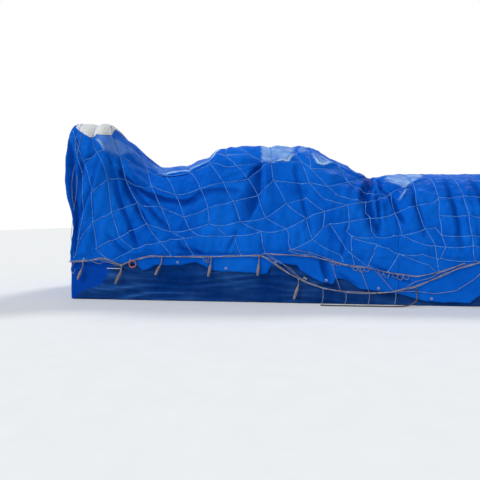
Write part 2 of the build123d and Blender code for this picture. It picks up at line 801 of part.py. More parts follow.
def rope_net():
    """Ropes round the set and ropes along it, fused where they cross."""
    marks = stations(-end_x + net_edge, end_x - net_edge)
    ropes = []
    for station in marks[1:-1]:
        points = net_line(station)
        points = [net_end(points, -1)] + points[1:-1] + [net_end(points, 1)]
        ropes.append(rope(points, net_rope, net_sides))
    rows = [net_line(station, weft_drop) for station in marks]
    for j in range(1, girth_cells):
        ropes.append(rope([row[j] for row in rows], net_rope, net_sides))
    return ropes[0].fuse(*ropes[1:])


def lashing_ring():
    """A round ring that hangs in front of the border rope."""
    y = rope_out(ring_x, ring_z + ring_radius, -1) + border_rope / 2 + ring_wire + 3 * seat_gap
    return Pos(ring_x, -y, ring_z) * Torus(ring_radius, ring_wire, rotation=(90, 0, 0))


# Build every node
save("long_beams", [long_beam(-1), long_beam(1)])
save("cross_beams", all_cross_beams())
save("deck_plate", [block(-half_length + deck_margin, half_length - deck_margin, -half_width + deck_margin,
                          half_width - deck_margin, frame_height, deck_top)])
save("lifting_trunnions", trunnions())
save("turbine_casing_lower", [turbine_casing_lower()])
save("turbine_casing_upper", [turbine_casing_upper()])
save("front_pedestal", [front_pedestal()])
save("steam_chest", [steam_chest()])
save("steam_pipe", [steam_pipe()])
save("valve_stands", [valve_stand(x) for x in valve_xs])
save("valve_actuators", [actuator(x) for x in valve_xs])
save("exhaust_hood", [exhaust_hood()])
save("gearbox_lower", [gearbox_lower()])
save("gearbox_upper", [gearbox_upper()])
save("generator_frame", [generator_frame()])
save("generator_end_shields", end_shields())
save("generator_terminal_box", [generator_terminal_box()])
save("exciter", [exciter()])
save("coupling_guards", coupling_guards())
save("turbine_sheet", [cover_sheet(-end_x, hood_x0)])
save("hood_sheet", [cover_sheet(hood_x0, notch_x)])
save("generator_sheet", [cover_sheet(notch_x, end_x)])
save("white_sheet", [white_sheet()])
save("left_curtain", [end_curtain(-1)])
save("right_curtain", [end_curtain(1)])
save("front_skirt", [side_skirt(-1)])
save("back_skirt", [side_skirt(1)])
save("left_skirt", [end_skirt(-1)])
save("right_skirt", [end_skirt(1)])
save("border_rope_front", [side_rope(front_route, -1)])
save("border_rope_back", [side_rope(back_route, 1)])
save("border_rope_ends", [end_rope(-1), end_rope(1)])
save("upper_rope_front", [side_rope(upper_route, -1)])
save("rope_net", [rope_net()])
for number, (x, lean) in enumerate(front_tails, 1):
    save(f"front_tail_{number}", [tube(tail_route(x, lean, -1, front_route), tail_rope)])
for number, (x, lean) in enumerate(back_tails, 1):
    save(f"back_tail_{number}", [tube(tail_route(x, lean, 1, back_route), tail_rope)])
save("fallen_rope", [tube(fallen_route, fallen_rope)])
save("lashing_ring", [lashing_ring()])
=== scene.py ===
# %% [markdown]
# This is a geared steam turbine and its generator, stored in the open. Blue sheets are drawn over the
# machine, a darker skirt hangs round its base frame, and a slack rope net holds the sheets down. The packed
# CAD frame says where everything is, so it is loaded first and the looks are built around it.

# %% Load the frame
import json
import bmesh
import bpy
import numpy as np
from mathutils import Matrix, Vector
from math import pi, radians


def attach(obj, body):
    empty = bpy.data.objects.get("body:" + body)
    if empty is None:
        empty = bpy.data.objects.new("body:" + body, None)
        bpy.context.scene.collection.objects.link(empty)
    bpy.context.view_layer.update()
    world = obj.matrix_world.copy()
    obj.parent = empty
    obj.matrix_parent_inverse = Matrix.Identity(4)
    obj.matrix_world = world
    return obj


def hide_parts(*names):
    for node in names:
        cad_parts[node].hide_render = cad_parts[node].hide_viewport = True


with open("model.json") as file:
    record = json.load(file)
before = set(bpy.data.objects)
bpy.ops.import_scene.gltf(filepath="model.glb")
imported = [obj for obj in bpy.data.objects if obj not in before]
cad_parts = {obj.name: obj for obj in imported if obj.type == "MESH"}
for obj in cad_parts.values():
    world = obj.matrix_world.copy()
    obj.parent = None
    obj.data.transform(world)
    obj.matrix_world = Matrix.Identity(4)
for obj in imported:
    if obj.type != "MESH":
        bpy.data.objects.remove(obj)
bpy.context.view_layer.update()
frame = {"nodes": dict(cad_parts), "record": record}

BODY = "root"

# %% [markdown]
# The photograph was taken at eye height from about seven metres away, a little towards the steam end. A
# camera can be matched by eye or from what is known to be level and straight. Here the height of the
# horizon and the length of the base frame gave its place, so it is set by numbers and never aimed.

# %% Camera
STAND = (-0.34, -8.38, 1.5)     # where the camera stood, in metres
TURN = 0.0924                   # how far it looks to the left of straight on, in radians


def into_scene(name, data):
    """Make an object of this data and put it in the scene."""
    made = bpy.data.objects.new(name, data)
    bpy.context.scene.collection.objects.link(made)
    return made


view_data = bpy.data.cameras.new("photo_camera")
view_data.lens = 29.25
view_data.sensor_width = 36.0
view_data.shift_y = -20 / 480
camera = into_scene("photo_camera", view_data)
camera.location = STAND
camera.rotation_euler = (pi / 2, 0, TURN)
bpy.context.scene.camera = camera
bpy.context.scene.view_settings.view_transform = "Standard"
print("camera at", tuple(camera.location))

# %% [markdown]
# Every surface below is a grid of points or a profile carried along a line, worked out as whole arrays.
# These helpers turn such arrays into meshes. A grid that closes on itself, as a rope does, joins its last
# column to its first, and its two ends are capped so that the mesh is watertight.

# %% Meshes from arrays


def mesh_from(name, points, faces, uv=None):
    """Join an (n, 3) array of points with faces, given as one array of quads or a list, into an object."""
    made = bpy.data.meshes.new(name)
    made.from_pydata(points.reshape(-1, 3).tolist(), [], faces if isinstance(faces, list) else faces.tolist())
    made.polygons.foreach_set("use_smooth", np.ones(len(made.polygons), dtype=bool))
    if uv is not None:
        corners = np.empty(len(made.loops), dtype=np.int32)
        made.loops.foreach_get("vertex_index", corners)
        made.uv_layers.new(name="flat").data.foreach_set("uv", uv.reshape(-1, 2)[corners].ravel())
    made.update()
    return into_scene(name, made)


def grid_faces(rows, columns, closed=False, ring=False):
    """Quads between neighbouring points of a rows x columns grid. Closed joins the last column to the first,
    and ring joins the last row to the first."""
    i, j = np.meshgrid(np.arange(rows if ring else rows - 1), np.arange(columns if closed else columns - 1),
                       indexing="ij")
    m, n = (i + 1) % rows, (j + 1) % columns
    return np.stack([i * columns + j, i * columns + n, m * columns + n, m * columns + j], -1).reshape(-1, 4)


def repeated(faces, count, size):
    """The same quads for each of many copies, whose points follow each other, so many (size) to a copy."""
    return (faces[None] + (np.arange(count) * size)[:, None, None]).reshape(-1, 4)


def tube_faces(length, corners, count=1):
    """Faces for tubes of so many rings (length) of so many corners: quads round each, then both ends."""
    size = length * corners
    faces = repeated(grid_faces(length, corners, closed=True), count, size).tolist()
    for first in range(0, count * size, size):
        faces.append(list(range(first, first + corners))[::-1])
        faces.append(list(range(first + size - corners, first + size)))
    return faces


def outwards(piece, merge=False):
    """Turn all faces of a mesh to point outwards, after points on the same spot are merged where asked."""
    shell = bmesh.new()
    shell.from_mesh(piece.data)
    if merge:
        bmesh.ops.remove_doubles(shell, verts=shell.verts, dist=1e-6)
    bmesh.ops.recalc_face_normals(shell, faces=shell.faces)
    shell.to_mesh(piece.data)
    shell.free()


def join_meshes(name, pieces):
    """Join several objects into one and name it."""
    with bpy.context.temp_override(active_object=pieces[0], selected_editable_objects=pieces):
        bpy.ops.object.join()
    pieces[0].name = name
    pieces[0].data.name = name
    return pieces[0]


print("mesh helpers ready")

# %% [markdown]
# A laid rope is three or more strands that turn round each other. It could be made as separate strands. One
# tube whose radius rises and falls round its line looks the same from outside, has no hidden faces, and takes
# a swelling along it where a rope's end is frayed or bound.

# %% Laid rope


def unit(v):
    """Each vector made one long."""
    return v / np.maximum(np.linalg.norm(v, axis=-1, keepdims=True), 1e-9)


def steady_frame(line):
    """Two unit vectors across the line at each point, from the difference of its neighbours: one nearly
    level, and one square to it and to the line."""
    way = unit(np.gradient(line, axis=0))
    level = np.cross(way, np.array([0.0, 0.0, 1.0]))
    weak = np.linalg.norm(level, axis=1, keepdims=True) < 0.35
    level = np.where(weak, np.cross(way, np.array([0.0, 1.0, 0.0])), level)
    for k in range(1, len(level)):
        if level[k] @ level[k - 1] < 0:
            level[k] *= -1
    level = unit(level)
    return level, np.cross(level, way)


def run_along(line):
    """How far along the line each of its points lies, in metres."""
    return np.concatenate([[0.0], np.cumsum(np.linalg.norm(np.diff(line, axis=0), axis=1))])


def laid_rope(name, line, width, corners, strands=3, pitch=5.0, swell=1.0):
    """A laid rope: the point is line + radius * (cos(angle) * level + sin(angle) * rise), where radius is
    width / 2 * (0.9 + 0.1 * cos(strands * (angle - 2 pi * run / lay))) * swell, and lay is pitch * width."""
    level, rise = steady_frame(line)
    run = run_along(line)
    angle = np.linspace(0, 2 * pi, corners, endpoint=False)
    twist = strands * (angle[None] - 2 * pi * run[:, None] / (pitch * width))
    radius = width / 2 * (0.9 + 0.1 * np.cos(twist)) * np.broadcast_to(swell, len(line))[:, None]
    out = level[:, None] * np.cos(angle)[:, None] + rise[:, None] * np.sin(angle)[:, None]
    uv = np.stack(np.broadcast_arrays(run[:, None], angle[None] * width / 2), -1)
    piece = mesh_from(name, line[:, None] + out * radius[..., None], tube_faces(len(line), corners), uv)
    outwards(piece)
    return piece


print("rope helpers ready")

# %% [markdown]
# The net is tied down with short brown rope tails that hang from its border rope, and one slack edge of the
# net has slipped to the ground. Each of these is a free cord: it has a real length, starts under the border
# rope and hangs or lies under its own weight. A NURBS curve of degree two, led by given points, gives the
# centre line, and a laid rope is carried along it.

# %% Rope tails and the fallen rope
HEM_HALF = 1.322                # half the width of the cover at its hem
TAIL_WIDTH = 0.044
TAIL_LENGTH = 0.35
TAIL_STANDOFF = HEM_HALF + TAIL_WIDTH / 2 + 0.0025
FALLEN_WIDTH = 0.024
# x, how far it leans, and the height of its start
FRONT_TAILS = [
    (-3.96, -0.105, 0.715), (-3.21, -0.12, 0.6429), (-2.44, -0.125, 0.8131), (-1.52, -0.055, 0.8161),
    (-0.645, -0.03, 0.8458), (0.06, -0.085, 0.4282)]
BACK_TAILS = [(-2.55, 0.06, 0.7872), (-0.15, -0.05, 0.8253), (2.3, 0.075, 0.8105)]
# shares of the lean and of the drop, and metres outwards
TAIL_SHARES = [
    (0.0, 0.0, 0.0), (0.0, 0.24, 0.0), (0.32, 0.5, -0.001), (0.68, 0.76, 0.004), (1.0, 1.0, -0.001)]
HANK_STARTS = (0.40, 0.16, 0.48, 0.30, 0.36, 0.22)      # how far down each tail its hank begins
FALLEN_ROUTE = [
    (2.085, -1.3405, 0.3245), (2.085, -1.3405, 0.2445), (2.1, -1.366, 0.17), (2.065, -1.402, 0.09),
    (1.965, -1.428, 0.034), (1.82, -1.45, 0.013), (1.62, -1.466, 0.0125), (1.35, -1.462, 0.0125),
    (1.08, -1.474, 0.0125), (0.82, -1.466, 0.0125), (0.6, -1.48, 0.0125), (0.43, -1.468, 0.0125)]


def centre_line(points, steps):
    """The route's own NURBS spline, read back as points, so many (steps) for each of its parts."""
    drawn = bpy.data.curves.new("route", "CURVE")
    drawn.dimensions = "3D"
    drawn.resolution_u = steps
    spline = drawn.splines.new("NURBS")
    spline.points.add(len(points) - 1)
    spline.points.foreach_set("co", np.array([(*p, 1.0) for p in points]).ravel())
    spline.order_u = 3
    spline.use_endpoint_u = True
    holder = into_scene("route", drawn)
    read = bpy.data.meshes.new_from_object(holder.evaluated_get(bpy.context.evaluated_depsgraph_get()))
    line = np.empty(len(read.vertices) * 3)
    read.vertices.foreach_get("co", line)
    bpy.data.objects.remove(holder)
    bpy.data.meshes.remove(read)
    return line.reshape(-1, 3)


def line_length(line):
    """The line's length in metres."""
    return float(run_along(line)[-1])


def tail_points(x, lean, z, side):
    """Five points down the tail: straight out of the knot, then leaning as it hangs."""
    drop = (TAIL_LENGTH ** 2 - lean ** 2) ** 0.5
    return [(x + lean * a, side * (TAIL_STANDOFF + c), z - drop * b) for a, b, c in TAIL_SHARES]


def hank(count, number):
    """A tail's swelling along it: a thin cord at 0.42 of the width, then a hank of cut ends that swells to
    about 1.2 as sin^0.7 of the share of the hank, all a little uneven."""
    share = np.linspace(0, 1, count)
    start = HANK_STARTS[(number - 1) % len(HANK_STARTS)]
    body = np.clip((share - start) / (1 - start), 0, 1)
    full = np.sin(pi * (0.02 + 0.86 * body)) ** 0.7
    return np.where(body > 0, 0.42 + (0.86 - 0.25 * start) * full, 0.42) + 0.04 * np.sin(share * 43 + number)


tails = []
for side, group in ((-1, FRONT_TAILS), (1, BACK_TAILS)):
    for number, (x, lean, z) in enumerate(group, 1):
        node = f"{'front' if side < 0 else 'back'}_tail_{number}"
        route = tail_points(x, lean, z, side)
        line = centre_line(route, 24)
        tail = laid_rope(f"rope_{node}", line, TAIL_WIDTH, 20, 5, 5.5, hank(len(line), number))
        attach(tail, BODY)
        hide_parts(node)
        tails.append(tail)

fallen_line = centre_line(FALLEN_ROUTE, 24)
fallen = laid_rope("rope_fallen", fallen_line, FALLEN_WIDTH, 14, pitch=4.0)
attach(fallen, BODY)
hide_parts("fallen_rope")
print("tails", len(tails), "fallen rope", round(line_length(fallen_line), 3), "m")

# %% [markdown]
# A sheet that hangs over a machine follows what is under it: it is highest over the valves at the steam end,
# sinks over the casing, rises over the exhaust hood and sinks again before the generator. Such a shape could
# be sculpted, or simulated over the machine. Here the large form is a function, because it has to keep to the
# CAD sheet: a ridge line along the machine, and across it two quarters of a squarish ellipse.

# %% The sheet's smooth form
HEM_Z = 0.65
POWER = 2.2
GIRTH = 6.6                     # metres round the cover from hem to hem, laid flat
END_X = 4.25
END_REACH = 0.35                # how far in from an end its bellying begins
END_EASE = 0.03
RIDGE_EASE = 0.035
# share of the height, and how far an end bellies out there
END_LINE = np.array([
    (-0.1, -0.022), (0.04, -0.022), (0.13, -0.07), (0.26, -0.11), (0.36, -0.065), (0.46, 0.03), (0.6, 0.09),
    (0.8, 0.11), (0.93, 0.11), (1.0, 0.05)])
# x, y and height of the ridge
RIDGE = np.array([
    (-4.45, -0.98, 3.36), (-4.25, -0.94, 3.375), (-4.12, -0.91, 3.4), (-3.95, -0.87, 3.4),
    (-3.86, -0.865, 3.345), (-3.78, -0.86, 3.405), (-3.7, -0.85, 3.41), (-3.61, -0.8, 3.385),
    (-3.52, -0.68, 3.22), (-3.32, -0.46, 3.07), (-3.05, -0.14, 2.77), (-2.92, 0.0, 2.66), (-2.75, 0.0, 2.64),
    (-2.33, 0.0, 2.64), (-2.1, 0.0, 2.66), (-1.75, 0.0, 2.83), (-1.5, 0.0, 3.0), (-1.1, 0.0, 3.04),
    (-0.5, 0.0, 3.02), (0.32, 0.0, 3.02), (0.52, 0.0, 2.9), (0.9, 0.0, 2.69), (1.25, 0.0, 2.48),
    (1.52, 0.0, 2.35), (1.7, 0.0, 2.34), (1.92, 0.0, 2.418), (2.25, 0.0, 2.435), (2.6, 0.0, 2.42),
    (3.6, 0.0, 2.42), (4.45, 0.0, 2.41)])


def eased(x, knots, column, spread):
    """Straight lines through the knots, then a bell-weighted mean over two spreads each way, to round the
    corners."""
    offsets = np.linspace(-2, 2, 9) * spread
    weights = np.exp(-(offsets / spread) ** 2 / 2)
    total = sum(w * np.interp(x + o, knots[:, 0], knots[:, column]) for w, o in zip(weights, offsets))
    return total / weights.sum()


def smooth_cover(x, t):
    """A point of the smooth cover. t runs from 0 at the front hem over 0.5 at the ridge to 1 at the back hem.
    y = ridge_y -+ reach * |cos(pi t)|^(2/power) and z = hem + (ridge_z - hem) * sin(pi t)^(2/power); past
    either hem the sheet hangs straight down."""
    ridge_y = eased(x, RIDGE, 1, RIDGE_EASE)
    ridge_z = eased(x, RIDGE, 2, RIDGE_EASE)
    inside = np.clip(t, 0, 1)
    out = np.abs(np.cos(pi * inside)) ** (2 / POWER)
    up = np.sign(np.sin(pi * t)) * np.abs(np.sin(pi * t)) ** (2 / POWER)
    side = np.where(t < 0.5, -1.0, 1.0)
    y = ridge_y + side * (HEM_HALF - side * ridge_y) * out
    z = HEM_Z + (ridge_z - HEM_Z) * up
    near_end = np.clip((np.abs(x) - END_X + END_REACH) / END_REACH, 0, 1)
    bulge = eased(up, END_LINE, 1, END_EASE) * near_end ** 2
    return np.stack([x + np.sign(x) * bulge, y, z], -1)


def girth_share(x, z, side=-1):
    """The t at which the smooth cover has height z at x, on the front (-1) or back (1): its rise inverted."""
    ridge_z = eased(np.asarray(x, float), RIDGE, 2, RIDGE_EASE)
    up = np.clip((np.asarray(z, float) - HEM_Z) / (ridge_z - HEM_Z), -1, 1)
    t = np.sign(up) * np.arcsin(np.abs(up) ** (POWER / 2)) / pi
    return t if side < 0 else 1 - t


def on_girth(places):
    """(x, height) places on the front as two arrays, x and t."""
    x, z = np.array(places).T
    return x, girth_share(x, z)


def outward(x, t):
    """Unit normal of the smooth cover, from the cross product of its slopes along x and along the girth."""
    step = 0.004
    along = smooth_cover(x + step, t) - smooth_cover(x - step, t)
    across = smooth_cover(x, t + step) - smooth_cover(x, t - step)
    return unit(np.cross(along, across))


print("ridge over the hood", smooth_cover(np.array(0.0), np.array(0.5)).round(3))

# %% [markdown]
# The net is a slack square mesh of thin rope. On the real set its ropes run slanting down the sheet from the
# ridge, and the sheet is pressed in under them and swells between them. The knots of the front are listed
# rope by rope, and the back repeats a plain mesh, since the photograph doesn't show it.

# %% The front's net, knot by knot
# (x, height) of the knots down each rope of the front, from the ridge to the hem
WARPS = [
    [(-4.21, 3.22), (-4.13, 2.85), (-4.02, 2.41), (-3.99, 1.97), (-3.97, 1.53), (-4.06, 1.14), (-4.15, 0.8)],
    [(-4.15, 3.38), (-4.15, 3.05), (-4.01, 2.63), (-3.8, 2.01), (-3.77, 1.46), (-3.71, 0.96), (-3.52, 0.79)],
    [(-3.88, 3.38), (-3.88, 3.07), (-3.77, 2.8), (-3.54, 2.3), (-3.43, 1.65), (-3.26, 1.18), (-2.98, 0.96)],
    [(-3.62, 3.34), (-3.57, 3.16), (-3.38, 2.74), (-3.23, 2.29), (-2.98, 1.83), (-2.76, 1.43),
     (-2.47, 1.09), (-2.27, 0.84)],
    [(-3.21, 2.92), (-2.97, 2.52), (-2.76, 2.14), (-2.52, 1.75), (-2.29, 1.28), (-2.03, 1.16), (-1.85, 0.85)],
    [(-2.8, 2.66), (-2.54, 2.38), (-2.26, 1.98), (-2.04, 1.55), (-1.93, 1.32), (-1.75, 1.21)],
    [(-2.29, 2.66), (-2.07, 2.45), (-1.77, 2.09), (-1.6, 1.72), (-1.56, 1.43), (-1.42, 1.39), (-1.23, 1.2),
     (-1.1, 1.22), (-0.98, 0.87)],
    [(-1.8, 2.86), (-1.62, 2.58), (-1.33, 2.21), (-1.13, 1.84), (-0.99, 1.47), (-0.61, 1.29), (-0.58, 1.03),
     (-0.54, 0.91)],
    [(-1.39, 3.01), (-1.36, 2.79), (-0.87, 2.28), (-0.67, 1.96), (-0.53, 1.54), (-0.16, 1.34),
     (-0.11, 1.17), (-0.09, 0.99)],
    [(-0.51, 3.02), (-0.42, 2.62), (-0.39, 2.25), (-0.16, 1.8), (0.21, 1.53), (0.31, 1.15), (0.78, 0.89),
     (0.84, 0.76)],
    [(-0.05, 3.02), (0.03, 2.79), (0.13, 2.63), (0.27, 2.18), (0.52, 1.88), (0.96, 1.77), (0.96, 1.46),
     (0.91, 1.3), (1.0, 1.21)],
    [(0.28, 3.02), (0.31, 2.47), (0.61, 2.11), (0.76, 1.96), (1.12, 1.85), (1.31, 1.84), (1.28, 1.63),
     (1.35, 1.54), (1.35, 1.3), (1.43, 1.19)],
    [(0.65, 2.82), (0.93, 2.44), (1.0, 2.2), (1.39, 2.02), (1.79, 2.0), (1.79, 1.63), (1.87, 1.23),
     (2.29, 1.05), (2.42, 1.05)],
    [(2.14, 2.48), (2.23, 2.17), (2.19, 1.76), (2.27, 1.34), (2.42, 1.05), (2.46, 0.7), (2.48, 0.61)],
    [(1.0, 1.21), (0.99, 0.97), (1.04, 0.72)]]
# and along each rope that crosses them
WEFTS = [
    [(-4.01, 2.63), (-3.77, 2.8), (-3.51, 2.78), (-3.38, 2.74), (-3.24, 2.67), (-2.97, 2.52)],
    [(-3.8, 2.01), (-3.65, 2.16), (-3.54, 2.3), (-3.23, 2.29), (-2.76, 2.14), (-2.26, 1.98), (-1.77, 2.09),
     (-1.33, 2.21), (-0.87, 2.28), (-0.58, 2.54), (-0.42, 2.62)],
    [(-3.77, 1.46), (-3.43, 1.65), (-2.98, 1.83), (-2.83, 1.76), (-2.52, 1.75), (-2.29, 1.65),
     (-2.04, 1.55), (-1.6, 1.72), (-1.13, 1.84), (-0.67, 1.96), (-0.39, 2.25), (0.06, 2.19), (0.27, 2.18),
     (0.61, 2.11), (1.0, 2.2), (1.52, 2.29)],
    [(-3.71, 0.96), (-3.45, 1.11), (-3.26, 1.18), (-3.07, 1.3), (-2.76, 1.43), (-2.54, 1.36), (-2.29, 1.28),
     (-1.93, 1.32), (-1.56, 1.43), (-1.42, 1.39), (-0.99, 1.47), (-0.53, 1.54), (-0.16, 1.8), (0.21, 1.9),
     (0.53, 1.65), (0.96, 1.77), (1.39, 1.85), (1.79, 2.0), (2.23, 2.17), (2.6, 2.26)],
    [(-3.38, 0.74), (-3.25, 0.82), (-2.98, 0.96), (-2.74, 1.04), (-2.47, 1.09), (-2.29, 1.14),
     (-2.03, 1.16), (-1.75, 1.21), (-1.56, 1.2), (-1.23, 1.2), (-1.1, 1.22), (-0.61, 1.29), (-0.16, 1.34),
     (0.21, 1.53), (0.53, 1.65), (0.5, 1.39)],
    [(-0.11, 0.95), (0.31, 1.15), (0.51, 1.37), (0.62, 1.43), (0.91, 1.46), (1.35, 1.54), (1.79, 1.63),
     (2.19, 1.76), (2.5, 1.81)],
    [(0.62, 1.43), (0.78, 1.17), (0.89, 0.98), (1.11, 0.8), (1.27, 0.67)],
    [(-1.62, 2.58), (-1.33, 2.53), (-0.77, 2.58)], [(-1.36, 2.79), (-0.85, 2.77), (-0.58, 2.62)],
    [(-1.23, 3.02), (-0.85, 2.77)], [(0.13, 2.63), (0.31, 2.47), (0.7, 2.46), (0.93, 2.44)],
    [(-0.42, 2.62), (-0.21, 2.62), (0.13, 2.63)],
    [(1.0, 1.21), (1.43, 1.19), (1.73, 1.22), (1.87, 1.23), (2.27, 1.34), (2.44, 1.36)],
    [(1.0, 1.18), (1.42, 1.07), (1.62, 1.0), (1.81, 0.9), (2.29, 0.72), (2.42, 0.6)],
    [(1.42, 1.07), (1.39, 0.99), (1.35, 0.85), (1.27, 0.67)], [(1.81, 0.9), (1.73, 0.77), (1.62, 0.6)],
    [(1.81, 0.9), (2.0, 0.88), (2.19, 0.9), (2.46, 0.82)], [(-3.77, 1.46), (-3.96, 1.23), (-4.1, 0.97)],
    [(-0.11, 0.95), (0.27, 0.89), (0.6, 0.8)], [(-2.97, 2.52), (-2.54, 2.38), (-2.07, 2.45), (-1.62, 2.58)]]
print("ropes of the front's net", len(WARPS) + len(WEFTS))

# %% Where the net's ropes run
# x at the ridge and drift of the plain ropes past those
FAR_WARPS = np.array([(2.56, 0.0), (2.98, 0.1), (3.42, 0.06), (3.86, 0.12), (4.14, 0.08)])
FAR_ROWS = np.array([0.50, 0.372, 0.244, 0.158, 0.100, 0.062, 0.020])
BACK_WARPS = np.array([
    -4.15, -3.88, -3.62, -3.21, -2.8, -2.29, -1.8, -1.39, -0.95, -0.51, -0.05, 0.28, 0.65, 1.1, 1.62, 2.14,
    2.56, 2.98, 3.42, 3.86, 4.14])
BACK_DRIFT = 0.35
BACK_ROWS = np.array([0.50, 0.595, 0.690, 0.780, 0.860, 0.925, 0.975])
LAST_ROPE = 4.22                # the net goes no nearer to the cover's ends than this x
FAR_FROM = 2.40                 # ropes listed above end past this x
seeded = np.random.default_rng(7)


def neighbours(knots):
    """Each two knots of a row that follow each other."""
    return np.stack([knots[:-1], knots[1:]], 1)


def traced_links(ropes):
    """Each straight run of the ropes drawn above, as two (x, t) ends."""
    return np.concatenate([neighbours(np.stack(on_girth(rope), -1)) for rope in ropes])


def plain_links(ridge_x, drift, rows):
    """An even net: rope k meets row t at ridge_x + drift * |t - 0.5| / 0.5, and each knot is moved up to 5 cm
    along x and 0.008 in t at random, but not off the ridge."""
    moved = seeded.uniform(-0.05, 0.05, (len(ridge_x), len(rows)))
    x = ridge_x[:, None] + drift[:, None] * np.abs(rows - 0.5) / 0.5 + moved
    x = np.clip(x, -LAST_ROPE, LAST_ROPE)
    x[:, 0] = ridge_x
    t = rows + seeded.uniform(-0.008, 0.008, x.shape) * (rows != 0.5)
    knots = np.stack([x, t], -1)
    down = np.stack([knots[:, :-1], knots[:, 1:]], 2).reshape(-1, 2, 2)
    across = np.stack([knots[:-1, 1:], knots[1:, 1:]], 2).reshape(-1, 2, 2)
    return down, across


def joining_links(ropes, knots):
    """A last run for each rope that ends past FAR_FROM, above the hem: on to the nearest of the knots
    given."""
    ends = np.stack(on_girth([r[-1] for r in ropes if r[-1][0] >= FAR_FROM and r[-1][1] > 0.75]), -1)
    away = np.linalg.norm((ends[:, None] - knots[None]) * [1, GIRTH], axis=-1)
    return np.stack([ends, knots[away.argmin(1)]], 1)


front_down, front_across = traced_links(WARPS), traced_links(WEFTS)
far_down, far_across = plain_links(FAR_WARPS[:, 0], FAR_WARPS[:, 1], FAR_ROWS)
joining = joining_links(WARPS + WEFTS, far_down[:len(FAR_ROWS) - 1, 1])
back_down, back_across = plain_links(BACK_WARPS, np.full(len(BACK_WARPS), BACK_DRIFT), BACK_ROWS)
ridge_x = np.array([-LAST_ROPE, *BACK_WARPS[:-1], LAST_ROPE])
along_ridge = neighbours(np.stack([ridge_x, np.full(len(ridge_x), 0.5)], -1))
down_links = np.concatenate([front_down, far_down, back_down])
across_links = np.concatenate([front_across, far_across, back_across, joining, along_ridge])
net_links = np.concatenate([down_links, across_links])
print("net ropes between knots", len(net_links))
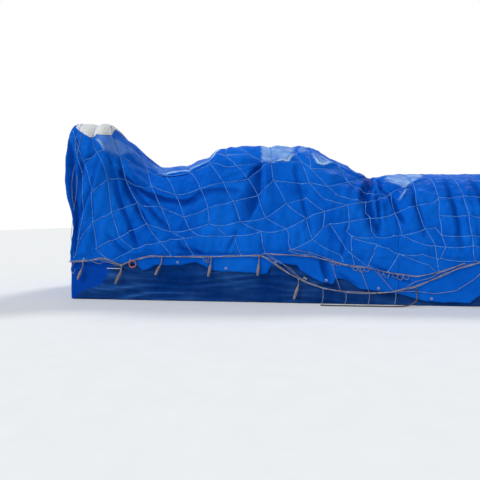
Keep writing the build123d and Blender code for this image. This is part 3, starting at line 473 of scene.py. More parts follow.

# %% [markdown]
# Woven plastic sheet is stiff. It doesn't flow like cotton: it breaks into long sharp folds with flatter
# facets between them. A cloth simulation gives soft, even wrinkles unless it runs very fine, so the folds are
# a function: the great ones are placed where the photograph has them, and the small ones are ridged noise,
# stretched down the sheet where it hangs and across it where it sags.

# %% Places of the great folds
# (x, height) points along the front's dark folds, the depth, and how wide they are to the left and to the
# right of the way they run; the depth also sets the painted shade in the sheet's colour
VALLEYS = [
    ([(-4.25, 3.25), (-4.16, 2.56), (-4.12, 1.6), (-4.14, 0.9)], 0.055, 0.05, 0.1),
    ([(-4.02, 2.75), (-4.06, 2.11), (-4.08, 1.63), (-4.12, 1.1)], 0.032, 0.05, 0.07),
    ([(-3.77, 2.85), (-3.9, 2.69), (-4.0, 2.57), (-4.04, 2.27)], 0.03, 0.05, 0.07),
    ([(-3.7, 2.61), (-3.84, 2.07), (-3.99, 1.65), (-4.1, 1.3)], 0.036, 0.05, 0.08),
    ([(-3.53, 2.68), (-3.33, 2.11), (-3.16, 1.63), (-2.97, 1.17), (-2.89, 0.98)], 0.058, 0.05, 0.13),
    ([(-3.38, 2.67), (-3.28, 2.35), (-3.09, 1.96), (-2.84, 1.58), (-2.7, 1.38)], 0.06, 0.05, 0.12),
    ([(-3.3, 2.42), (-3.16, 2.27), (-2.82, 2.02), (-2.43, 1.91), (-2.06, 1.87), (-1.91, 1.9)], 0.075, 0.05,
     0.17),
    ([(-3.08, 2.1), (-2.78, 1.78), (-2.57, 1.56), (-2.33, 1.35)], 0.048, 0.05, 0.12),
    ([(-1.98, 1.87), (-1.76, 2.03), (-1.49, 2.08), (-1.02, 2.06)], 0.045, 0.07, 0.2),
    ([(-2.9, 2.46), (-2.56, 2.36), (-2.05, 2.43), (-1.6, 2.7)], 0.045, 0.04, 0.1),
    ([(-0.61, 2.6), (-0.61, 2.33), (-0.66, 2.06), (-0.72, 1.76), (-0.82, 1.5)], 0.062, 0.04, 0.34),
    ([(-1.05, 2.22), (-0.88, 2.26), (-0.72, 2.42), (-0.58, 2.56)], 0.046, 0.1, 0.06),
    ([(0.04, 2.6), (0.01, 2.38), (0.11, 1.92), (0.18, 1.62), (0.25, 1.36), (0.28, 1.18)], 0.036, 0.09, 0.05),
    ([(1.61, 2.33), (1.46, 2.11), (1.36, 1.94), (1.37, 1.75), (1.38, 1.57), (1.45, 1.34)], 0.105, 0.04, 0.26),
    ([(1.66, 2.26), (1.62, 2.07), (1.73, 1.95), (1.8, 1.68), (1.9, 1.46)], 0.085, 0.07, 0.05),
    ([(1.52, 2.05), (1.5, 1.87), (1.49, 1.59), (1.48, 1.32)], 0.055, 0.05, 0.06),
    ([(2.19, 2.15), (2.2, 1.77), (2.25, 1.47), (2.29, 1.24)], 0.05, 0.05, 0.11),
    ([(0.89, 1.12), (0.83, 0.83)], 0.034, 0.05, 0.08),
    ([(-0.59, 0.97), (-0.09, 0.9), (0.26, 0.84), (0.7, 0.76)], 0.02, 0.03, 0.07),
    ([(0.44, 0.78), (0.49, 0.61), (0.56, 0.42)], 0.06, 0.14, 0.025),
    ([(1.34, 0.74), (1.56, 0.62), (1.78, 0.5), (2.06, 0.4)], 0.045, 0.03, 0.1),
    ([(0.75, 0.6), (0.9, 0.5), (1.14, 0.36)], 0.036, 0.03, 0.1),
    ([(-2.34, 0.88), (-1.95, 0.872), (-1.3, 0.88), (-0.7, 0.9)], 0.034, 0.028, 0.022),
    ([(-3.48, 1.22), (-3.25, 1.0), (-3.02, 0.86)], 0.034, 0.04, 0.09),
    ([(-2.18, 1.0), (-1.92, 0.95), (-1.64, 0.92)], 0.028, 0.03, 0.07),
    ([(-1.01, 1.3), (-1.11, 1.12), (-1.22, 0.93)], 0.034, 0.03, 0.08),
    ([(-1.9, 1.02), (-1.75, 0.92), (-1.6, 0.86)], 0.026, 0.03, 0.05),
    ([(-2.22, 1.16), (-2.05, 1.02), (-1.9, 0.88)], 0.028, 0.03, 0.06),
    ([(2.86, 2.2), (2.8, 1.6), (2.9, 1.0)], 0.05, 0.05, 0.12),
    ([(3.32, 2.25), (3.3, 1.5), (3.42, 0.9)], 0.046, 0.05, 0.11),
    ([(3.84, 2.2), (3.76, 1.6), (3.82, 0.95)], 0.052, 0.05, 0.13),
    ([(4.12, 2.1), (4.1, 1.5), (4.14, 0.9)], 0.04, 0.05, 0.08)]
# the bright folds beside them, in the same way
RIDGES = [
    ([(-4.18, 3.24), (-4.08, 2.55), (-4.04, 1.78)], 0.03, 0.05, 0.06),
    ([(-3.64, 2.69), (-3.77, 2.16), (-3.92, 1.65), (-4.13, 1.16)], 0.045, 0.1, 0.06),
    ([(-3.49, 2.56), (-3.27, 1.98), (-3.06, 1.4), (-2.81, 0.98)], 0.04, 0.06, 0.06),
    ([(-3.3, 2.57), (-3.05, 2.16), (-2.8, 1.8), (-2.5, 1.38)], 0.05, 0.12, 0.05),
    ([(-3.22, 2.44), (-2.86, 2.16), (-2.42, 2.02), (-1.97, 2.0)], 0.06, 0.22, 0.05),
    ([(-2.97, 2.08), (-2.63, 1.76), (-2.28, 1.52)], 0.042, 0.12, 0.06),
    ([(-3.81, 3.08), (-3.64, 2.87)], 0.03, 0.05, 0.05),
    ([(-0.56, 2.62), (-0.5, 2.35), (-0.54, 2.06), (-0.6, 1.76)], 0.05, 0.16, 0.04),
    ([(-0.6, 2.62), (-0.46, 2.6), (-0.21, 2.62), (0.09, 2.78)], 0.042, 0.12, 0.04),
    ([(1.42, 2.34), (1.16, 1.96), (1.02, 1.59)], 0.046, 0.08, 0.1),
    ([(1.6, 2.24), (1.53, 1.87), (1.56, 1.47)], 0.046, 0.05, 0.05),
    ([(1.8, 2.15), (1.95, 1.87), (2.12, 1.54)], 0.048, 0.1, 0.06),
    ([(1.9, 1.86), (1.98, 1.94), (2.08, 2.06)], 0.03, 0.03, 0.04),
    ([(0.35, 2.88), (0.42, 2.6), (0.55, 2.54)], 0.036, 0.12, 0.04),
    ([(1.75, 2.2), (1.9, 2.18), (2.08, 2.1), (2.3, 2.22)], 0.036, 0.1, 0.04),
    ([(0.55, 2.54), (0.8, 2.58), (1.12, 2.38), (1.5, 2.28)], 0.03, 0.1, 0.05),
    ([(0.09, 1.47), (0.16, 1.14)], 0.03, 0.08, 0.06),
    ([(-1.31, 2.34), (-1.03, 2.42), (-0.72, 2.52)], 0.04, 0.12, 0.08),
    ([(3.08, 2.2), (3.02, 1.5), (3.14, 0.95)], 0.042, 0.12, 0.06),
    ([(3.6, 2.2), (3.52, 1.6), (3.62, 0.95)], 0.042, 0.12, 0.06)]
print("great folds", len(VALLEYS), "dark and", len(RIDGES), "bright")

# %% Small folds


def lattice_noise(u, v, seed):
    """Smooth noise from -1 to 1: random heights on a square lattice, blended by 3a^2 - 2a^3 between its
    corners."""
    table = np.random.default_rng(seed).uniform(-1, 1, (64, 64))
    cell_u, cell_v = np.floor(u).astype(int), np.floor(v).astype(int)
    a, b = u - cell_u, v - cell_v
    a, b = a * a * (3 - 2 * a), b * b * (3 - 2 * b)
    low = table[cell_u % 64, cell_v % 64] * (1 - a) + table[(cell_u + 1) % 64, cell_v % 64] * a
    high = table[cell_u % 64, (cell_v + 1) % 64] * (1 - a) + table[(cell_u + 1) % 64, (cell_v + 1) % 64] * a
    return low * (1 - b) + high * b


def creases(u, v, seed):
    """Sharp ridges with flatter ground between, from -1 to 1: 1 - 2 * |noise|, over two octaves."""
    one = 1 - np.abs(lattice_noise(u, v, seed)) * 2
    two = 1 - np.abs(lattice_noise(u * 2.1 + 5, v * 2.1 + 9, seed + 1)) * 2
    return 0.68 * one + 0.32 * two


def small_folds(x, t):
    """Creases that hang down the sides (24 mm), slanting and steep creases (26 and 18 mm) and crumples, in
    metres; the hanging ones are stronger on the back, and the crumples weaker on top."""
    s = t * GIRTH
    off_top = np.clip(np.abs(t - 0.5) * 4.2, 0, 1)
    drift = 0.5 * lattice_noise(x * 0.9, s * 0.6, 3)
    hanging = creases(x * 2.6 + drift * 2 + s * 0.25, s * 0.55, 11) * 0.024 * off_top * (1 + 0.6 * (t > 0.5))
    slanting = creases(x * 1.9 + s * 1.3 + 7, s * 1.2 - x * 0.8, 23) * 0.026
    steep = creases(x * 3.4 - s * 1.1 + 2, s * 1.6 + x * 1.2, 29) * 0.018
    crumpled = creases(x * 6.2 + drift, s * 5.0, 37) * 0.013 + creases(x * 13.0, s * 11.0, 41) * 0.006
    return hanging + slanting + steep + crumpled * (0.15 + 0.85 * off_top)


print("small folds over the hood", small_folds(np.array([0.0, 0.1]), np.array([0.2, 0.3])).round(4))

# %% [markdown]
# A fold follows a line on the sheet laid flat, so it needs the distance from each point of the sheet to that
# line. The back of the sheet isn't seen, and repeats the front's folds, moved along a little.

# %% Folds along lines
BACK_SHIFT = 0.30               # how far along the back's folds are moved
FAR_OFF = 9.0                   # a distance past every width used here


def off_line(x, s, ends):
    """For a straight run on the sheet laid flat: the distance in metres from (x, s) to it, how far along it
    that is (0 to 1), and the cross product, which is positive to the left of the way it runs."""
    (x0, s0), (x1, s1) = ends
    dx, ds = x1 - x0, s1 - s0
    share = np.clip(((x - x0) * dx + (s - s0) * ds) / max(dx * dx + ds * ds, 1e-9), 0, 1)
    return np.hypot(x - x0 - share * dx, s - s0 - share * ds), share, dx * (s - s0) - ds * (x - x0)


def turned_round(x, t):
    """The back repeats the front: x and the way up the sheet (m) on the front that a point of either side
    copies."""
    return x + BACK_SHIFT * np.clip((t - 0.54) * 6, 0, 1), np.minimum(t, 1 - t) * GIRTH


def fold_sum(x, t, folds):
    """Sum of folds: height * (1 - q)^1.5 * (1 + 0.8 q), where q is the distance over the fold's width on that
    side. The crest is sharp, one side is steep and the other long, and the fold fades at both ends. Noise
    bends the line by up to 3.5 cm and changes the width by a third."""
    x, s = turned_round(x, t)
    total = np.zeros(np.broadcast(x, t).shape)
    wander = 1 + 0.35 * lattice_noise(s * 2.2, x * 2.2, 19)
    bend = 0.035 * lattice_noise(s * 1.8 + 3, x * 1.8, 29)
    for points, height, left, right in folds:
        xs, ts = on_girth(points)
        ss = ts * GIRTH
        best = np.full(total.shape, FAR_OFF)
        where = np.zeros(total.shape)
        width = np.full(total.shape, left)
        for k in range(len(points) - 1):
            far, share, turn = off_line(x + bend, s, ((xs[k], ss[k]), (xs[k + 1], ss[k + 1])))
            nearer = far < best
            best = np.where(nearer, far, best)
            where = np.where(nearer, (k + share) / (len(points) - 1), where)
            width = np.where(nearer, np.where(turn > 0, left, right), width)
        q = np.clip(best / (width * wander), 0, 1)
        total += height * (1 - q) ** 1.5 * (1 + 0.8 * q) * np.sqrt(np.sin(pi * (0.06 + 0.88 * where)))
    return total


print("deepest dark fold given", max(height for _, height, _, _ in VALLEYS), "m")

# %% [markdown]
# The finished sheet is its smooth form, lifted along its normal by the folds. Under a rope of the net it is
# pressed in, and between the ropes it swells. Three places are held back: the valve peaks, where another
# sheet lies on this one, the generator's frame, which it can't sink into, and the hem.

# %% The finished sheet
PRESSED_IN = 0.014              # metres that a rope presses the sheet in
SWELLS_OUT = 0.010              # metres that it swells between ropes
FOLDS_LEFT = 0.62               # share of the folds' height that is left under a rope


def net_press(x, t):
    """How near the net's ropes are: exp(-(distance / 3 cm)^2), and the distance itself over 20 cm, up to
    1."""
    s = t * GIRTH
    nearest = np.full(np.broadcast(x, t).shape, FAR_OFF)
    for (x0, t0), (x1, t1) in net_links:
        near = (x > min(x0, x1) - 0.2) & (x < max(x0, x1) + 0.2)
        if near.any():
            far = off_line(x[near], s[near], ((x0, t0 * GIRTH), (x1, t1 * GIRTH)))[0]
            nearest[near] = np.minimum(nearest[near], far)
    return np.exp(-(nearest / 0.03) ** 2), np.clip(nearest / 0.2, 0, 1)


def sheet_lift(x, t):
    """The whole lift of the sheet off its smooth form, in metres: great folds, small folds and the net's
    press. It is 3 mm on the valve peaks, sinks 4 mm at most on the generator's frame, and at the hem stays
    between 12 mm in and 2 mm out, the room between the skirt and the ropes."""
    x, t = np.broadcast_arrays(np.asarray(x, float), np.asarray(t, float))
    pressed, free = net_press(x, t)
    lift = fold_sum(x, t, RIDGES) - fold_sum(x, t, VALLEYS) + small_folds(x, t)
    lift = lift * (FOLDS_LEFT + (1 - FOLDS_LEFT) * free) - PRESSED_IN * pressed + SWELLS_OUT * free
    z = smooth_cover(x, t)[..., 2]
    on_top = np.clip((-3.3 - x) / 0.25, 0, 1) * np.clip((z - 3.22) / 0.10, 0, 1)
    lift = lift * (1 - on_top) + 0.003 * on_top
    on_frame = np.clip((x - 1.75) / 0.15, 0, 1) * np.clip((z - 2.34) / 0.06, 0, 1)
    held = np.maximum(lift, -0.004 - 0.1 * (1 - on_frame)) * (1 - 0.6 * on_frame)
    lift = np.where(on_frame > 0, held, lift)
    low = np.clip((z - 0.82) / 0.30, 0, 1)
    return np.where(low < 1, np.clip(lift, -0.012 - 0.2 * low, 0.002 + 0.2 * low), lift) + 0.004 * low


def cover(x, t, lift=0.0):
    """A point of the finished sheet, lifted off it along the smooth form's normal."""
    return smooth_cover(x, t) + outward(x, t) * (sheet_lift(x, t) + lift)[..., None]


print("lift over the hood", sheet_lift(np.array([0.0, 0.1]), np.array([0.2, 0.3])).round(4))

# %% [markdown]
# The sheet's colour is painted paler where sunlight fell on facets that face the sky, in sharp-edged places,
# and a painted highlight runs nearly white along the crease at such a place's lower edge. The places are
# polygons on the sheet and the creases are lines. How much painted light each point takes is stored with it,
# for the material to read.

# %% Painted sunlit places
# corners, as (x, height), clockwise seen from the front, and how strongly each place is painted with sunlight
PAINTED_LIT_PLACES = [
    ([(-3.86, 3.12), (-3.54, 3.15), (-3.4, 3.02), (-3.1, 2.78), (-3.36, 2.74), (-3.64, 2.83)], 0.42),
    ([(-3.3, 2.92), (-3.1, 2.78), (-2.66, 2.5), (-2.68, 2.42), (-3.06, 2.58), (-3.38, 2.76)], 0.13),
    ([(-0.7, 3.04), (0.12, 3.04), (0.0, 2.76), (-0.11, 2.62), (-0.42, 2.59), (-0.61, 2.62)], 0.8),
    ([(0.1, 3.04), (0.36, 3.02), (0.28, 2.88), (0.1, 2.8)], 0.45),
    ([(1.76, 2.24), (1.93, 2.38), (2.26, 2.42), (2.54, 2.34), (2.23, 2.2), (2.08, 2.1), (1.87, 2.17)], 0.8),
    ([(0.34, 2.92), (0.68, 2.66), (0.83, 2.57), (0.55, 2.52), (0.42, 2.57)], 0.7),
    ([(-3.0, 2.7), (-1.62, 2.92), (-1.6, 2.76), (-2.05, 2.49), (-2.56, 2.42), (-2.92, 2.52)], 0.24)]
# painted highlights along creases: points, strength, widths
PAINTED_HIGHLIGHT_RIMS = [
    ([(-0.61, 2.62), (-0.42, 2.59), (-0.25, 2.63), (-0.11, 2.62), (0.06, 2.78)], 1.5, 0.07, 0.02),
    ([(0.35, 2.8), (0.41, 2.58), (0.53, 2.54), (0.72, 2.6)], 1.4, 0.06, 0.02),
    ([(-3.78, 3.09), (-3.72, 3.01), (-3.66, 2.9), (-3.64, 2.85)], 1.5, 0.06, 0.03),
    ([(-3.3, 2.93), (-3.13, 2.79), (-2.9, 2.62), (-2.62, 2.45)], 1.1, 0.035, 0.02),
    ([(-2.72, 2.44), (-2.56, 2.42), (-2.32, 2.47), (-2.06, 2.49), (-1.77, 2.63), (-1.57, 2.8),
       (-1.43, 2.97)], 1.5, 0.05, 0.03),
    ([(-2.62, 2.4), (-2.5, 2.43), (-2.38, 2.46)], 1.6, 0.07, 0.04),
    ([(-2.16, 2.49), (-1.77, 2.64), (-1.57, 2.81), (-1.4, 3.0), (-1.2, 3.03)], 1.5, 0.045, 0.03),
    ([(-1.55, 2.79), (-1.05, 2.79), (-0.84, 2.77)], 0.9, 0.03, 0.02),
    ([(1.76, 2.21), (1.87, 2.18), (2.08, 2.1), (2.23, 2.22)], 1.5, 0.05, 0.02),
    ([(1.9, 1.86), (1.98, 1.94), (2.08, 2.06)], 1.4, 0.03, 0.03)]


def bleach(x, t):
    """How much painted sunlight and painted highlight the sheet takes, 0 to 1. Inside a place it is the least
    distance to the place's sides over 5 cm, times its strength; along a rim it falls away like a fold."""
    total = np.clip(fold_sum(x, t, PAINTED_HIGHLIGHT_RIMS), 0, 1)
    x, s = turned_round(x, t)
    ragged = 0.05 * lattice_noise(x * 7, s * 7, 57)
    for corners, strength in PAINTED_LIT_PLACES:
        xs, ts = on_girth(corners)
        ss = ts * GIRTH
        inside = np.full(total.shape, FAR_OFF)
        for k in range(len(xs)):
            dx, ds = xs[k] - xs[k - 1], ss[k] - ss[k - 1]
            inside = np.minimum(inside, ((x - xs[k - 1]) * ds - (s - ss[k - 1]) * dx) / np.hypot(dx, ds))
        total = np.maximum(total, np.clip((inside + ragged) / 0.05, 0, 1) * strength)
    return total


print("bleached places", len(PAINTED_LIT_PLACES), "and rims", len(PAINTED_HIGHLIGHT_RIMS))

# %% [markdown]
# The cover is three sheets that overlap: over the turbine, over the hood and gearbox, and over the generator.
# Each is a grid over x and the girth, whose front edge follows the ragged hem with its hanging flaps. A thin
# Solidify gives the sheet two faces and a cut edge, as real sheet has.

# %% Making a sheet
SHEET_WALL = 0.0009


def read_off(table, x):
    """The table's second column at x, on straight lines between its rows."""
    return np.interp(x, table[:, 0], table[:, 1])


def keep_layers(piece, **layers):
    """Store named numbers, one for each point, with the mesh."""
    for name, values in layers.items():
        piece.data.attributes.new(name, "FLOAT", "POINT").data.foreach_set("value", values.ravel())


def made_sheet(name, node, slot, points, flat, run, held, rests_on):
    """A sheet of these points that stands for this node. Its run is not used."""
    piece = mesh_from(name, points, grid_faces(*points.shape[:2]), flat)
    outwards(piece)
    solid = piece.modifiers.new("wall", "SOLIDIFY")
    solid.thickness = SHEET_WALL
    solid.offset = -1.0
    solid.use_even_offset = False
    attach(piece, BODY)
    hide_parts(node)
    return piece


print("sheet wall", SHEET_WALL * 1000, "mm")

# %% The three cover sheets
# (x, height) along the hems
FRONT_HEM = np.array([
    (-4.45, 0.7), (-3.64, 0.705), (-3.42, 0.69), (-3.24, 0.672), (-3.02, 0.688), (-2.94, 0.66), (-2.82, 0.57),
    (-2.7, 0.59), (-2.6, 0.65), (-2.48, 0.66), (-2.03, 0.67), (-1.79, 0.72), (-1.46, 0.57), (-0.81, 0.55),
    (-0.6, 0.51), (-0.5, 0.53), (-0.43, 0.69), (-0.2, 0.7), (0.03, 0.68), (0.09, 0.6), (0.26, 0.49),
    (0.49, 0.38), (0.66, 0.36), (0.72, 0.46), (0.9, 0.44), (1.17, 0.27), (1.39, 0.25), (1.77, 0.22),
    (2.0, 0.14), (2.3, 0.08), (2.98, 0.07), (3.3, 0.3), (3.7, 0.44), (4.45, 0.48)])
BACK_HEM = np.array([
    (-4.45, 0.56), (-3.2, 0.6), (-1.8, 0.54), (-0.6, 0.62), (0.9, 0.55), (2.2, 0.61), (4.45, 0.55)])
CELL = 0.024
FOLDED_IN = 0.1                 # metres of a sheet's length that its folds take up
# FULL_DEPTH: a fold this deep takes the darkest painted shade in the sheet's colour
FULL_DEPTH = 0.05               # a fold this deep is as dark as it gets
# name, node, ends, lift over its neighbours, and how far it goes on past its left and its right end
SHEETS = [("sheet_over_turbine", "turbine_sheet", -END_X, -1.54, 0.0, 0.0, 0.12),
          ("sheet_over_hood", "hood_sheet", -1.54, 1.64, 0.0012, 0.16, 0.16),
          ("sheet_over_generator", "generator_sheet", 1.64, END_X, 0.0, 0.0, 0.0)]


def sheet_grid(x0, x1, lift):
    """Points and flat places of a sheet from x0 to x1: t runs from the front hem's t to the back hem's, and
    both hems flutter by 12 mm."""
    x = np.arange(round(x0 / CELL), round(x1 / CELL) + 1)[:, None] * CELL
    share = np.linspace(0, 1, int(GIRTH / CELL))[None]
    flutter = 0.012 * lattice_noise(x * 9, x * 0, 51)
    t0 = girth_share(x, read_off(FRONT_HEM, x) + flutter)
    t1 = girth_share(x, read_off(BACK_HEM, x) + flutter, side=1)
    x, t = np.broadcast_arrays(x, t0 + (t1 - t0) * share)
    return cover(x, t, lift), np.stack([x, t * GIRTH], -1)


cover_sheets = []
for name, node, x0, x1, lift, lap_before, lap_after in SHEETS:
    points, flat = sheet_grid(x0 - lap_before, x1 + lap_after, lift)
    run = float(np.ptp(flat[..., 0])) + FOLDED_IN
    piece = made_sheet(name, node, "cover_sheet", points, flat, run, "draped",
                       ["exhaust_hood", "generator_frame"])
    x, t = flat[..., 0], flat[..., 1] / GIRTH
    # fold_depth carries the painted shade in the folds; the other layer carries the painted sunlight and
    # painted highlights of the sunlit places and rims
    keep_layers(piece, fold_depth=np.clip(fold_sum(x, t, VALLEYS) / FULL_DEPTH, 0, 1), bleached=bleach(x, t))
    cover_sheets.append(piece)

# %% [markdown]
# A cover sheet has a metal eyelet about every 0.9 m along its hem, for a lashing. An eyelet is a small ring,
# so its points are a circle carried round a circle, set on the sheet with the sheet's own normal as its axis.

# %% Hem eyelets
EYELET = 0.017                  # radius of the ring's middle line
EYELET_WIRE = 0.005             # half its width, and it is half as thick
EYELET_PITCH = 0.9
ABOVE_HEM = 0.055
RING, WIRE = 16, 6              # corners round the ring and round its wire
front_x = np.arange(-3.95, 3.3, EYELET_PITCH)
back_x = np.append(4.15, np.arange(-3.80, 3.5, EYELET_PITCH))       # and one at the back's last corner
front_t = girth_share(front_x, read_off(FRONT_HEM, front_x) + ABOVE_HEM)
back_t = girth_share(back_x, read_off(BACK_HEM, back_x) + ABOVE_HEM, side=1)
x, t = np.concatenate([front_x, back_x]), np.concatenate([front_t, back_t])
centre, axis = (v[:, None, None] for v in (cover(x, t, 0.005), outward(x, t)))
level = unit(np.cross(axis, np.array([0.0, 0.0, 1.0])))
rise = np.cross(axis, level)
round_ring = np.linspace(0, 2 * pi, RING, endpoint=False)[:, None, None]
round_wire = np.linspace(0, 2 * pi, WIRE, endpoint=False)[:, None]
out = EYELET + EYELET_WIRE * np.cos(round_wire)
points = centre + out * (level * np.cos(round_ring) + rise * np.sin(round_ring))
points = points + axis * (EYELET_WIRE / 2 * np.sin(round_wire))
quads = repeated(grid_faces(RING, WIRE, closed=True, ring=True), len(x), RING * WIRE)
eyelets = mesh_from("hem_eyelets", points, quads)
outwards(eyelets)
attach(eyelets, BODY)
print("eyelets", len(x))

# %% [markdown]
# At each end a curtain of the same sheet hangs inside the cover's edge and bellies out. It is strung between
# the two edges like a filled curve: straight runs from one side to the other at each height, pushed out along
# X, with folds that fan down from the top.

# %% End curtains
CURTAIN_WIDTH = 2.64
CURTAIN_FOOT = 0.70             # its lowest height


def curtain_at(side, up, share):
    """A point of an end curtain, from how far up its two edges it is (t, 0 to 0.5) and its share of the way
    between them: a + (b - a) * share, pushed out along X. The push is a belly of 5 cm * sin(pi * share) *
    sin(2 pi t)^0.8, less up to 3.5 cm of setting in, plus the folds, which are weakest at the foot."""
    edge = np.full(np.broadcast(up, share).shape, side * END_X)
    a, b = cover(edge, up + 0 * share, -0.003), cover(edge, 1 - up + 0 * share, -0.003)
    points = a + (b - a) * share[..., None]
    y, z = points[..., 1], points[..., 2]
    inner = np.sin(pi * np.clip(share, 0, 1)) ** 0.5
    high = np.clip(up * 2, 0, 1)
    fan = creases(y * 1.7 + 0.5 * (3.3 - z) * y, z * 0.4 + 0 * y, 61 + side) * 0.075
    sag = creases(y * 0.5, z * 2.6 + 0.9 * y * y, 67 + side) * 0.040
    crumple = creases(y * 5, z * 4, 71 + side) * 0.014
    belly = 0.05 * np.sin(pi * share) * np.sin(pi * high) ** 0.8
    folds = (fan + sag + crumple) * inner * (0.15 + 0.85 * high)
    points[..., 0] += side * (belly - 0.035 * inner * high + folds)
    return points


def curtain_points(side):
    """The whole curtain, from the hem's height up to the ridge."""
    foot = girth_share(side * END_X, CURTAIN_FOOT)
    up, share = np.meshgrid(np.linspace(foot, 0.499, 120), np.linspace(0, 1, 110), indexing="ij")
    return curtain_at(side, up, share)


for side, name, node in ((-1, "curtain_left", "left_curtain"), (1, "curtain_right", "right_curtain")):
    points = curtain_points(side)
    flat = points[..., 1:].copy()
    cover_sheets.append(made_sheet(name, node, "cover_sheet", points, flat, CURTAIN_WIDTH, "hung",
                                   ["border_rope_ends"]))

# %% [markdown]
# Between the two valve peaks a sun-bleached white sheet shows. It lies over the blue one, from a sagging edge
# on the front over the ridge and down the back, and is stained brown. Its grid is laid on the cover itself, a
# little above it, so it can't cut through.

# %% Bleached sheet
WHITE_WIDTH = 0.65
WHITE_ENDS = (-4.20, -3.57)
# (x, height) along its front edge
WHITE_EDGE = np.array([
    (-4.22, 3.33), (-4.12, 3.23), (-4.03, 3.15), (-3.93, 3.085), (-3.86, 3.11), (-3.8, 3.15), (-3.68, 3.14),
    (-3.52, 3.15)])


def white_points():
    """The patch from the sagging front edge to a hanging back edge, 6 to 14 mm over the blue sheet."""
    x = np.linspace(*WHITE_ENDS, 60)[:, None]
    share = np.linspace(0, 1, 150)[None]
    t0 = girth_share(x, read_off(WHITE_EDGE, x))
    t1 = 0.74 + 0.02 * lattice_noise(x * 6, x * 0, 5)
    x, t = np.broadcast_arrays(x, t0 + (t1 - t0) * share)
    ripple = 0.006 + 0.004 * (1 + creases(x * 5, t * GIRTH * 3, 83)) * np.sin(pi * share) ** 0.4
    return cover(x, t, ripple), np.stack([x, t * GIRTH], -1)


white = made_sheet("sheet_bleached", "white_sheet", "bleached_sheet", *white_points(), WHITE_WIDTH, "draped",
                   ["sheet_over_turbine"])

# %% [markdown]
# The skirt is a darker sheet stretched round the base frame. It is strung along its length, so its folds are
# long and nearly level. A panel is a plane whose depth is a row of soft waves down its height; the waves
# wander and meet as they run along, and the foot is a little ragged.

# %% Skirt panels
SKIRT_TOP = 0.725
SKIRT_FOOT = 0.004
SKIRT_IN, SKIRT_OUT = 1.2866, 1.2993        # how far out from the middle its sides lie
SKIRT_END_IN, SKIRT_END_OUT = 4.2066, 4.2193
SIDE_RUN, END_RUN = 4.215, 1.28             # half the length of a side and of an end
SKIRT_CELL, SKIRT_ROWS = 0.034, 68
# (x, height) along the right edge of the newer panel
NEWER_EDGE = np.array([
    (-4.12, 0.03), (-3.95, 0.17), (-3.64, 0.26), (-3.48, 0.45), (-3.4, 0.56), (-3.3, 0.73)])


def skirt_depth(u, z, seed):
    """Depth of the folds, 0 to 1: waves of 17 cm down the height, raised to a power so that their crests are
    narrow, with finer ones of 6 cm on them, all shifted by slow noise along the run, and small creases."""
    shift = 1.3 * lattice_noise(u * 0.5, z * 1.5, seed) + 0.5 * lattice_noise(u * 1.5, z * 3, seed + 1)
    waves = 0.5 + 0.5 * np.cos(2 * pi * (z / 0.17 + shift))
    fine = 0.5 + 0.5 * np.cos(2 * pi * (z / 0.060 + 2.6 * lattice_noise(u * 0.9, z * 5, seed + 3)))
    strong = 0.55 + 0.45 * lattice_noise(u * 0.8 + 4, z * 2.0, seed + 5)
    small = creases(u * 2.1 + z * 2.5, z * 12, seed + 2)
    return np.clip((0.60 * waves ** 2.5 + 0.34 * fine ** 3 * waves) * strong + 0.24 * small + 0.20, 0, 1)


def skirt_panel(name, node, run, place, seed):
    """A panel of the skirt: place(u, depth, z) turns a run along it, a depth and a height into a point."""
    u, z = np.meshgrid(np.linspace(-run, run, int(2 * run / SKIRT_CELL)),
                       np.linspace(SKIRT_FOOT, SKIRT_TOP, SKIRT_ROWS), indexing="ij")
    ragged = 0.012 * lattice_noise(u * 4, z * 0, 91) * np.clip((0.2 - z) / 0.2, 0, 1)
    depth = skirt_depth(u, z, seed)
    points = place(u, depth, z + np.abs(ragged))
    flat = np.stack([u, z], -1)
    piece = made_sheet(name, node, "skirt_sheet", points, flat, 2 * run, "hung", ["long_beams"])
    newer = np.clip((read_off(NEWER_EDGE[:, ::-1], z) - points[..., 0]) / 0.05, 0, 1)
    # fold depth from 1 - depth: painted shade in the troughs and, in the material, a painted highlight on the
    # crests
    keep_layers(piece, fold_depth=1 - depth, newer=newer)
    return piece


def on_side(side):
    """Places a skirt point on the -Y (-1) or +Y (+1) side."""
    return lambda u, depth, z: np.stack(
        [u * -side, side * (SKIRT_IN + (SKIRT_OUT - SKIRT_IN) * depth), z], -1)


def on_end(side):
    """Places a skirt point on the -X (-1) or +X (+1) end."""
    return lambda u, depth, z: np.stack(
        [side * (SKIRT_END_IN + (SKIRT_END_OUT - SKIRT_END_IN) * depth), u * side, z], -1)


skirts = [skirt_panel("skirt_front", "front_skirt", SIDE_RUN, on_side(-1), 11),
          skirt_panel("skirt_back", "back_skirt", SIDE_RUN, on_side(1), 10),
          skirt_panel("skirt_left", "left_skirt", END_RUN, on_end(-1), 10),
          skirt_panel("skirt_right", "right_skirt", END_RUN, on_end(1), 11)]

# %% [markdown]
# The border rope is two ropes laid round each other that run along the hem, level at the steam end and then
# slack and hanging. It is a helix of two strands about the route. The route is given in x and height, and the
# distance out comes from the sheet itself, so the rope lies on the folds.

# %% Border ropes
BORDER_WIDTH = 0.032
REACH_FROM = 0.66               # the sheet's reach is never asked for below this height
LAST_X = 4.246                  # the ropes turn the corner here
ROPE_STEP = 0.012               # between the points of the ropes along the sides
DOUBLE_LAY = 1.3                # length in which the two ropes go once round each other
